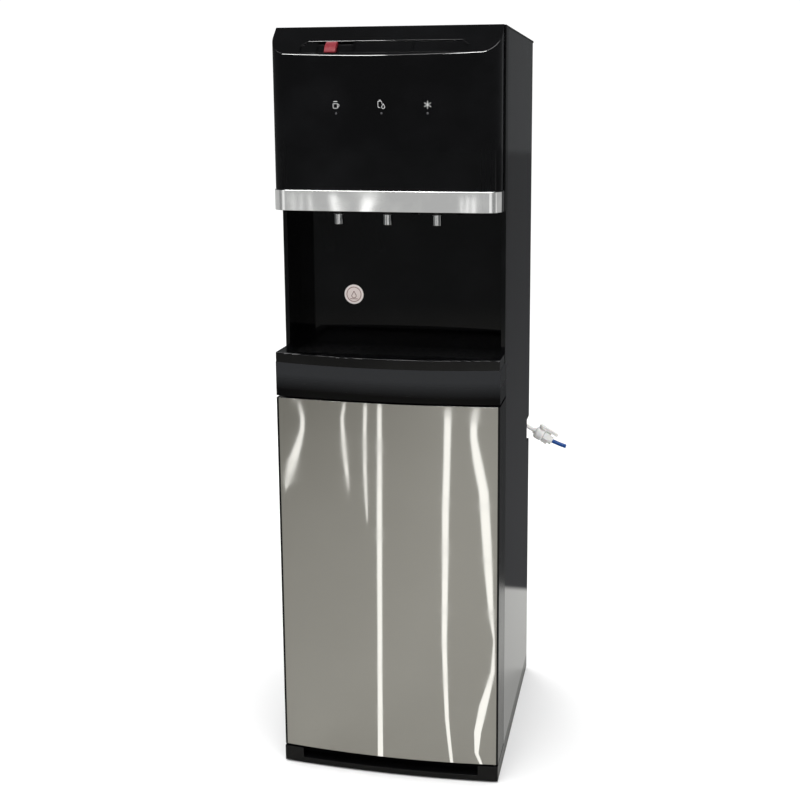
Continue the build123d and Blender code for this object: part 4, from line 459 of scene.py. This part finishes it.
def copper():
    metal = Finish("copper", Metallic=1.0)
    tarnish = metal.ramp(metal.noise(60.0, detail=4.0), 0.4, 0.7)
    return metal.feed(Base_Color=metal.blend(tarnish, (0.62, 0.30, 0.19), (0.33, 0.15, 0.095)),
                      Roughness=0.22 + tarnish * 0.2)


def board():
    paint = Finish("board", IOR=1.5, Coat_Weight=0.3)
    tracks = paint.node("ShaderNodeTexBrick", {"offset": 0.5}, output="Fac",
                        Vector=paint.stretch(160.0, 1.0, 160.0), Scale=1.0, Mortar_Size=0.06)
    return paint.feed(Base_Color=paint.blend(tracks, (0.02, 0.12, 0.05), (0.05, 0.22, 0.09)),
                      Roughness=0.35 + tracks * 0.1)


finishes.update(galvanised=galvanised(), copper=copper(), board=board())
print("made", len(finishes), "finishes")

# %% [markdown]
# ## Giving the finishes to the CAD parts
# Each CAD part already has a material slot named after its finish. The finish made here takes its place
# there, and the mesh stays as it was. The white valve and its tube aren't mirrored in the glossy side,
# because the real one shows no such second valve.

# %% Give every CAD part its finish
for name, part in nodes.items():
    for place in part.material_slots:
        wanted = place.material.name.split(".")[0]
        place.material = finishes[wanted].material
blue_tube.data.materials.append(finishes["blue_tube"].material)
not_mirrored = ("inlet_tube", "valve_body", "valve_nut", "valve_lever")
for piece in (blue_tube, *(nodes[name] for name in not_mirrored)):
    piece.visible_glossy = False
print("finishes in use:", sorted({s.material.name for p in nodes.values() for s in p.material_slots}))

# %% [markdown]
# ## Edges that catch the light
# A CAD edge is perfectly sharp, and a sharp edge never glints. On the real cooler every moulded edge has a
# small radius, and that is where the bright lines run. The CAD mesh isn't touched: a copy is taken, its
# loose triangles are merged and the flat ones joined, a Bevel modifier rounds what turns sharply, and the
# copy stands in for the part.

# %% Copy a part with rounded edges
MERGE = 0.000002
FLAT_UNDER = math.radians(0.5)    # faces that meet at less than this are one flat face
ROUND_OVER = math.radians(35)
SMOOTH_UNDER = math.radians(40)
BEVEL_STEPS = 2


def only(piece):
    bpy.ops.object.select_all(action="DESELECT")
    piece.select_set(True)
    bpy.context.view_layer.objects.active = piece


def rounded(name, body, radius):
    source = nodes[name]
    piece = bpy.data.objects.new(name + "_rounded", source.data.copy())
    bpy.context.collection.objects.link(piece)
    only(piece)
    bpy.ops.object.mode_set(mode="EDIT")
    bpy.ops.mesh.select_all(action="SELECT")
    bpy.ops.mesh.remove_doubles(threshold=MERGE)
    bpy.ops.mesh.dissolve_limited(angle_limit=FLAT_UNDER)
    bpy.ops.object.mode_set(mode="OBJECT")
    edge = piece.modifiers.new("edge", "BEVEL")
    edge.width = radius
    edge.segments = BEVEL_STEPS
    edge.limit_method = "ANGLE"
    edge.angle_limit = ROUND_OVER
    edge.use_clamp_overlap = True
    bpy.ops.object.modifier_apply(modifier="edge")
    bpy.ops.object.shade_smooth_by_angle(angle=SMOOTH_UNDER)
    flat = piece.modifiers.new("flat", "WEIGHTED_NORMAL")
    flat.keep_sharp = True
    bpy.ops.object.modifier_apply(modifier="flat")
    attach(piece, body)
    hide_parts(name)
    print(piece.name, len(piece.data.polygons), "faces")


# %% Round the front's mouldings and metal
for name, body, radius in (
        ("tray_housing", "cabinet", 0.0009), ("drip_grille", "grille", 0.0006), ("drip_tray", "tray", 0.0004),
        ("door_skin", "door", 0.0005), ("door_frame", "door", 0.0007), ("base_plinth", "cabinet", 0.0006),
        ("niche_liner", "cabinet", 0.0004), ("chrome_band", "cabinet", 0.0004),
        ("head_fascia", "cabinet", 0.0012), ("head_housing", "cabinet", 0.0005),
        ("top_cover", "cabinet", 0.0006), ("hot_key", "hot_push_key", 0.0004),
        ("ambient_key", "ambient_push_key", 0.0004), ("cold_key", "cold_push_key", 0.0004),
        ("child_lock_slider", "child_lock", 0.0006), ("left_side_panel", "cabinet", 0.0004),
        ("right_side_panel", "cabinet", 0.0004), ("spouts", "cabinet", 0.0004)):
    rounded(name, body, radius)
for name, finish in (("tray_housing_rounded", "apron_black"), ("spouts_rounded", "tipped_spout")):
    bpy.data.objects[name].material_slots[0].material = finishes[finish].material

# %% [markdown]
# ## Printed marks on the head
# Over each key a small sign tells which water it gives: a mug, a jar with a drop, and a snow star. They are
# screen printed, white and a tenth of a millimetre proud. Each is drawn as strokes in millimetres about its
# own middle. A stroke is a thin curve with a round bevel, made mesh and pressed almost flat onto the
# fascia. The words under the signs and the maker's place above them stay bare. A dim status lamp sits under
# each sign.

# %% Strokes pressed onto a surface
MM = 0.001
STROKE_R = 0.00025
PROUD = 0.0001
IN_FRONT = -0.5
BACKWARD = Vector((0, 1, 0))


def front_of(name, across, up):
    hit, place, normal, face = bpy.data.objects[name].ray_cast(Vector((across, IN_FRONT, up)), BACKWARD)
    if not hit:
        raise SystemExit("nothing of %s at %.3f, %.3f" % (name, across, up))
    return place.y


def ring_of(radius, x=0.0, z=0.0, count=28):
    return [(x + radius * math.cos(math.tau * i / count), z + radius * math.sin(math.tau * i / count))
            for i in range(count)] + [(x + radius, z)]


def drop_of(radius, tall, x=0.0, z=0.0, count=20):
    arc = [(-radius * math.cos(math.radians(a)), -radius * math.sin(math.radians(a)))
           for a in (180 * i / count for i in range(count + 1))]
    return [(x + u, z + v) for u, v in [(0.0, tall), *arc, (0.0, tall)]]


def sign(name, strokes, across, up, onto, finish, thick=STROKE_R):
    line = bpy.data.curves.new(name, "CURVE")
    line.dimensions = "3D"
    line.bevel_depth = thick
    line.bevel_resolution = 2
    line.use_fill_caps = True
    for stroke in strokes:
        spline = line.splines.new("POLY")
        spline.points.add(len(stroke) - 1)
        for point, (x, z) in zip(spline.points, stroke):
            point.co = (x * MM, 0, z * MM, 1)
    piece = bpy.data.objects.new(name, line)
    bpy.context.collection.objects.link(piece)
    only(piece)
    bpy.ops.object.convert(target="MESH")
    piece = bpy.context.object
    for vertex in piece.data.vertices:
        x, y, z = vertex.co
        vertex.co = (across + x, front_of(onto, across + x, up + z) + y * PROUD / thick, up + z)
    bpy.ops.object.shade_smooth()
    piece.data.materials.append(finishes[finish].material)
    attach(piece, "cabinet")
    print(name, len(piece.data.polygons), "faces")
    return piece


# %% The three signs and their lamps
finishes["white_print"] = moulded("white_print", (0.78, 0.78, 0.78), (0.86, 0.86, 0.86), 0.4)
finishes["lamp_off"] = moulded("lamp_off", (0.05, 0.05, 0.055), (0.08, 0.08, 0.085), 0.3)
mug = [[(-3.9, 1.6), (-3.9, -3.2), (-3.1, -4.2), (1.3, -4.2), (2.1, -3.2), (2.1, 1.6), (-3.9, 1.6)],
       [(2.1, 1.0), (3.6, 0.8), (4.2, -0.7), (3.6, -2.2), (2.1, -2.6)],
       [(-3.7, 4.4), (2.0, 4.4)]]
jar = [[(-4.5, 4.1), (-4.5, -2.4), (-3.6, -3.4), (-1.4, -3.4)],
       [(0.6, 1.6), (0.6, 4.1), (-0.1, 4.7), (-3.8, 4.7), (-4.5, 4.1)],
       [(-3.4, 5.9), (-0.6, 5.9)], drop_of(2.1, 4.1, 2.4, -2.6)]
STAR_R = 5.1
star = [[(-STAR_R * math.cos(t), -STAR_R * math.sin(t)), (STAR_R * math.cos(t), STAR_R * math.sin(t))]
        for t in (math.radians(turn) for turn in (90, 150, 210))]
lamp_rings = [ring_of(radius, count=16) for radius in (0.3, 0.8, 1.2)]
SIGN_X = 0.0605
SIGN_Z = 0.9355
LAMP_Z = 0.9248
for name, strokes, across in (("hot_sign", mug, -SIGN_X), ("plain_water_sign", jar, 0.0),
                              ("cold_sign", star, SIGN_X)):
    sign(name, strokes, across, SIGN_Z, "head_fascia_rounded", "white_print")
    lamp = name.replace("sign", "lamp")
    sign(lamp, lamp_rings, across, LAMP_Z, "head_fascia_rounded", "lamp_off")

# %% [markdown]
# ## Sticker in the niche
# A round paper sticker on the back wall of the niche, here with a plain ring and a drop. It is a thin disc
# with a smaller, darker one on it: a circle is filled, thickened and its edge rounded. The marks are
# strokes like the signs.

# %% The sticker
STICKER_X, STICKER_Z, STICKER_R = -0.072, 0.670, 0.014
STICKER_T = 0.0002
FACE_SHARE = 0.84
FACE_T = 0.0001
FACE_OUT = 0.00019
MARKS_OUT = 0.00028
MARK_R = 0.0005
EDGE_SHARE = 0.4                  # of a disc's thickness, rounded off
finishes["sticker_rim"] = moulded("sticker_rim", (0.88, 0.80, 0.77), (0.92, 0.85, 0.82), 0.5)
finishes["sticker_face"] = moulded("sticker_face", (0.84, 0.73, 0.70), (0.90, 0.79, 0.76), 0.5)
finishes["sticker_ink"] = moulded("sticker_ink", (0.24, 0.12, 0.10), (0.32, 0.17, 0.14), 0.5)


def disc(name, across, up, back, radius, thick, finish):
    bpy.ops.object.select_all(action="DESELECT")
    bpy.ops.mesh.primitive_circle_add(vertices=64, radius=radius, fill_type="NGON", location=(0, 0, 0))
    piece = bpy.context.object
    piece.name = name
    body = piece.modifiers.new("body", "SOLIDIFY")
    body.thickness = thick
    body.offset = 0
    bpy.ops.object.modifier_apply(modifier="body")
    edge = piece.modifiers.new("edge", "BEVEL")
    edge.width = thick * EDGE_SHARE
    edge.limit_method = "ANGLE"
    bpy.ops.object.modifier_apply(modifier="edge")
    for vertex in piece.data.vertices:
        x, y, z = vertex.co
        vertex.co = (across + x, back - thick / 2 - z, up + y)
    bpy.ops.object.shade_smooth_by_angle(angle=SMOOTH_UNDER)
    piece.data.materials.append(finishes[finish].material)
    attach(piece, "cabinet")


wall = front_of("niche_liner_rounded", STICKER_X, STICKER_Z)
disc("niche_sticker", STICKER_X, STICKER_Z, wall, STICKER_R, STICKER_T, "sticker_rim")
disc("niche_sticker_face", STICKER_X, STICKER_Z, wall - FACE_OUT, STICKER_R * FACE_SHARE, FACE_T,
     "sticker_face")
drawing = [ring_of(10.4), drop_of(3.4, 6.4, 0.0, -1.8), [(-5.6, -6.6), (5.6, -6.6)]]
marks = sign("niche_sticker_marks", drawing, STICKER_X, STICKER_Z, "niche_liner_rounded", "sticker_ink",
             thick=MARK_R)
for vertex in marks.data.vertices:
    vertex.co.y -= MARKS_OUT
print("sticker at y", round(wall, 4))

# %% [markdown]
# ## Labels round the filter cartridges
# Each cartridge wears a plain printed sleeve with two colour bands, so that a hand finds the right one:
# blue for sediment, green for carbon. A sleeve is an open tube a tenth of a millimetre off the cartridge,
# thickened outwards.

# %% The sleeves
SLEEVE_GAP = 0.0001
SLEEVE_T = 0.0003


def sleeve(name, node, body, low, high, share, finish):
    corners = corners_of(node)
    middle = sum(corners, Vector()) / 8
    bottom, top = min(c.z for c in corners), max(c.z for c in corners)
    radius = (max(c.x for c in corners) - min(c.x for c in corners)) / 2 * share
    z0, z1 = bottom + (top - bottom) * low, bottom + (top - bottom) * high
    bpy.ops.object.select_all(action="DESELECT")
    bpy.ops.mesh.primitive_cylinder_add(vertices=72, radius=radius + SLEEVE_GAP, depth=z1 - z0,
                                        end_fill_type="NOTHING", location=(0, 0, 0))
    piece = bpy.context.object
    piece.name = name
    shell = piece.modifiers.new("body", "SOLIDIFY")
    shell.thickness = SLEEVE_T
    shell.offset = 1
    bpy.ops.object.modifier_apply(modifier="body")
    for vertex in piece.data.vertices:
        vertex.co += Vector((middle.x, middle.y, (z0 + z1) / 2))
    bpy.ops.object.shade_smooth_by_angle(angle=SMOOTH_UNDER)
    piece.data.materials.append(finishes[finish].material)
    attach(piece, body)
    print(name, "radius", round(radius, 4), "z", round(z0, 4), round(z1, 4))


finishes["label_paper"] = moulded("label_paper", (0.76, 0.76, 0.75), (0.84, 0.84, 0.83), 0.5)
finishes["label_blue"] = moulded("label_blue", (0.02, 0.10, 0.34), (0.03, 0.13, 0.42), 0.45)
finishes["label_green"] = moulded("label_green", (0.03, 0.22, 0.08), (0.04, 0.28, 0.11), 0.45)
LABEL_SPAN = (0.22, 0.66)         # shares of the cartridge's height
STRIPES = (("wide_stripe", 0.55, 0.61), ("thin_stripe", 0.27, 0.29))
STRIPE_SHARE = 1.0104             # a stripe's radius over the cartridge's, so that it lies on the label
for node, body, colour in (("sediment_filter", "sediment_cartridge", "label_blue"),
                           ("carbon_filter", "carbon_cartridge", "label_green")):
    sleeve(node + "_label", node, body, *LABEL_SPAN, 1.0, "label_paper")
    for part, low, high in STRIPES:
        sleeve(node + "_" + part, node, body, low, high, STRIPE_SHARE, colour)

# %% [markdown]
# ## Streaks in the steel
# The tall streaks in the steel door and the bright band are lines of light that lie out in the room,
# mirrored. The eye looks down on the door, so the door mirrors the floor, and the band mirrors what stands
# further out. Each streak is given where it shows on the steel, in stations of (across, up, width), read
# off a photograph of the cooler and rounded. Light leaves a mirror as it came, so a line from the eye to
# the steel, turned back about the steel's own direction, finds the place on the floor or in the upright
# plane where the light has to be. The steel's front is an arc, so that direction is worked out, not read
# from the mesh. A ribbon of light then runs through those places.

# %% Where a streak's light has to be
DOOR_FRONT = (0.155, 0.007, -0.175)      # half width, bow and foremost y of the steel
BAND_FRONT = (0.128, 0.003, -0.176)
RIBBON_UP = 0.004
BAND_LINES_Y = -2.6
SIDES = (-0.5, 0.5)
STREAK_GLOW = 1.15


def light_place(front, across, up, plane_y=None):
    half, bow, foremost = front
    radius = (half ** 2 + bow ** 2) / (2 * bow)
    depth = math.sqrt(radius ** 2 - across ** 2)
    place = Vector((across, foremost + radius - depth, up))
    away = (place - Vector(EYE)).reflect(Vector((across, -depth, 0)) / radius)
    share = (RIBBON_UP - up) / away.z if plane_y is None else (plane_y - place.y) / away.y
    return place + away * share


def behind_streak(front, stations, plane_y=None):
    return [[light_place(front, (across + side * width) * MM, up * MM, plane_y) for side in SIDES]
            for across, up, width in stations]


print("the door's middle mirrors", light_place(DOOR_FRONT, 0.0, 0.3))

# %% Ribbons of light
def mirrored_only_by(name, piece):
    seen_by = bpy.data.collections.new(name)
    seen_by.objects.link(bpy.data.objects[piece])
    return seen_by


def glow(name, strength):
    light = bpy.data.materials.new(name)
    light.use_nodes = True
    nodes_in = light.node_tree.nodes
    nodes_in.remove(nodes_in["Principled BSDF"])
    shine = nodes_in.new("ShaderNodeEmission")
    shine.inputs["Color"].default_value = (1.0, 1.0, 0.985, 1.0)
    shine.inputs["Strength"].default_value = strength
    both = nodes_in.new("ShaderNodeAddShader")
    light.node_tree.links.new(shine.outputs[0], both.inputs[0])
    light.node_tree.links.new(nodes_in.new("ShaderNodeBsdfTransparent").outputs[0], both.inputs[1])
    light.node_tree.links.new(both.outputs[0], nodes_in["Material Output"].inputs["Surface"])
    return light


def ribbon(name, edges, seen_by, finish):
    bpy.ops.object.select_all(action="DESELECT")
    bpy.ops.mesh.primitive_grid_add(x_subdivisions=1, y_subdivisions=len(edges) - 1, size=1,
                                    location=(0, 0, 0))
    piece = bpy.context.object
    piece.name = name
    rows = sorted(piece.data.vertices, key=lambda v: (round(v.co.y, 4), v.co.x))
    for vertex, place in zip(rows, (place for pair in edges for place in pair)):
        vertex.co = place
    piece.data.materials.append(finish)
    piece.visible_camera = piece.visible_diffuse = piece.visible_shadow = False
    piece.light_linking.receiver_collection = seen_by


door_only = mirrored_only_by("mirrored_by_the_door", "door_skin_rounded")
band_only = mirrored_only_by("mirrored_by_the_band", "chrome_band_rounded")
spouts_only = mirrored_only_by("mirrored_by_the_spouts", "spouts_rounded")
head_only = mirrored_only_by("mirrored_by_the_head", "head_fascia_rounded")
tray_only = mirrored_only_by("mirrored_by_the_tray", "drip_grille_rounded")
streak_glow = glow("streak_glow", STREAK_GLOW)
print("ribbons can light the door, the band, the spouts, the head and the grille, each alone")

# %% The streaks
door_streaks = {
    "left_arc": ((-155, 541, 2), (-140, 532, 4.5), (-134, 514, 6.5), (-135, 495, 7.5), (-142.5, 472, 11.5),
                 (-152, 446, 14.5), (-159, 421, 9), (-162, 409, 2)),
    "left_short": ((-64.5, 538, 4), (-69, 517, 5), (-66.5, 480, 6.5), (-62.5, 447, 6), (-58.5, 417, 2)),
    "left_long": ((-31, 538, 5.5), (-32.5, 500, 5), (-32.5, 445, 5), (-30.5, 400, 3.5), (-29.5, 374, 1.5)),
    "middle": ((-8.5, 540, 6.5), (-10, 390, 8), (-11, 277, 7.5), (-12, 160, 7), (-12, 9, 8)),
    "right": ((97.5, 536, 10.5), (95, 469, 10), (91.5, 395, 10), (90, 321, 9), (86.5, 207, 7.5),
              (86.5, 149, 6.5), (87, 91, 5.5), (92.5, 10, 4)),
    "right_arc": ((143, 538, 10.5), (136.5, 524, 9.5), (136, 499, 10.5), (142, 463, 13.5), (149.5, 424, 13),
                  (152, 361, 12.5), (154, 306, 10.5), (156, 249, 6), (159, 211, 2), (155.5, 165, 5.5),
                  (140.5, 114, 11.5), (130.5, 74, 10), (127.5, 42, 5.5), (136, 17, 3)),
}
band_streaks = {
    "line_1": ((-124, 739, 2.5), (-124, 825, 2.5)),
    "line_2": ((-113, 739, 2), (-111.5, 825, 2)),
    "line_3": ((-100.5, 738, 2.5), (-97, 781, 3), (-99.5, 824, 2.5)),
    "line_4": ((-56, 737, 8.5), (-66.5, 824, 10.5)),
    "line_5": ((-18, 736, 17), (-25, 780, 13), (-15.5, 823, 19)),
    "line_6": ((105, 734, 2.5), (105, 822, 2.5)),
    "line_7": ((114.5, 734, 3.5), (112, 778, 3.5), (114, 822, 3.5)),
    "line_8": ((122, 734, 4.5), (122, 822, 4.5)),
}
for name, stations in door_streaks.items():
    ribbon(name, behind_streak(DOOR_FRONT, stations), door_only, streak_glow)
for name, stations in band_streaks.items():
    ribbon(name, behind_streak(BAND_FRONT, stations, BAND_LINES_Y), band_only, streak_glow)
print("streaks:", len(door_streaks), "in the door and", len(band_streaks), "in the band")

# %% [markdown]
# ## Rims and cards
# Between its streaks the band mirrors a wide dim brightness, and rounded rims glint because something
# bright is high up or far to the side. Large plain cards of light make both. Each is again mirrored by one
# piece alone, so the head, the spouts and the grille get their glints and nothing else gets brighter. Here
# the stations are places in the room: the middle of the card's edge, how far along it is, and its width.

# %% Cards for the band, the rims, the spouts and the grille
FRONT_CARD_Y = -3.0
SIDE_CARDS_X = 3.0
RIM_LIGHT_UP = 2.5
CARD_GLOW, RIM_GLOW, BLACK_RIM_GLOW, SPOUT_GLOW = 0.55, 14.0, 80.0, 2.0


def overhead(*stations):
    return [[(middle + side * width, far, RIM_LIGHT_UP) for side in SIDES] for middle, far, width in stations]


def ahead(plane_y, *stations):
    return [[(middle + side * width, plane_y, up) for side in SIDES] for middle, up, width in stations]


def aside(plane_x, *stations):
    return [[(plane_x, middle + side * width, up) for side in SIDES] for middle, up, width in stations]


card_glow = glow("card_glow", CARD_GLOW)
rim_glow = glow("rim_glow", RIM_GLOW)
black_rim_glow = glow("black_rim_glow", BLACK_RIM_GLOW)
spout_glow = glow("spout_glow", SPOUT_GLOW)
ribbon("front_card", ahead(FRONT_CARD_Y, (-0.2, 0.05, 12.0), (-0.2, 0.90, 12.0)), band_only, card_glow)
for name, plane_x in (("left", -SIDE_CARDS_X), ("right", SIDE_CARDS_X)):
    ribbon(name + "_card", aside(plane_x, (0.5, 0.05, 7.0), (0.5, 0.90, 7.0)), band_only, card_glow)
    ribbon("door_" + name + "_light", aside(plane_x, (-1.2, 0.0, 1.6), (-1.2, 2.5, 1.6)), door_only, rim_glow)
for name, seen_by in (("door_top_light", door_only), ("band_top_light", band_only)):
    ribbon(name, overhead((0.0, -2.2, 3.0), (0.0, 0.3, 3.0)), seen_by, rim_glow)
ribbon("head_left_light", overhead((-1.35, -2.2, 1.5), (-2.1, -4.5, 1.9)), head_only, black_rim_glow)
ribbon("head_right_light", overhead((0.4, -2.2, 1.2), (0.4, -4.5, 2.0)), head_only, black_rim_glow)
for name, across, width in (("spout_line_1", -1.6, 0.35), ("spout_line_2", 0.15, 0.25),
                            ("spout_line_3", 1.3, 0.3)):
    ribbon(name, ahead(BAND_LINES_Y, (across, 0.1, width), (across, 0.9, width)), spouts_only, spout_glow)
ribbon("tray_light", overhead((-0.3, -1.1, 3.0), (-0.3, -0.7, 3.0)), tray_only, black_rim_glow)
print("glow of cards, rims, black rims and spouts:", CARD_GLOW, RIM_GLOW, BLACK_RIM_GLOW, SPOUT_GLOW)

bpy.context.view_layer.update()
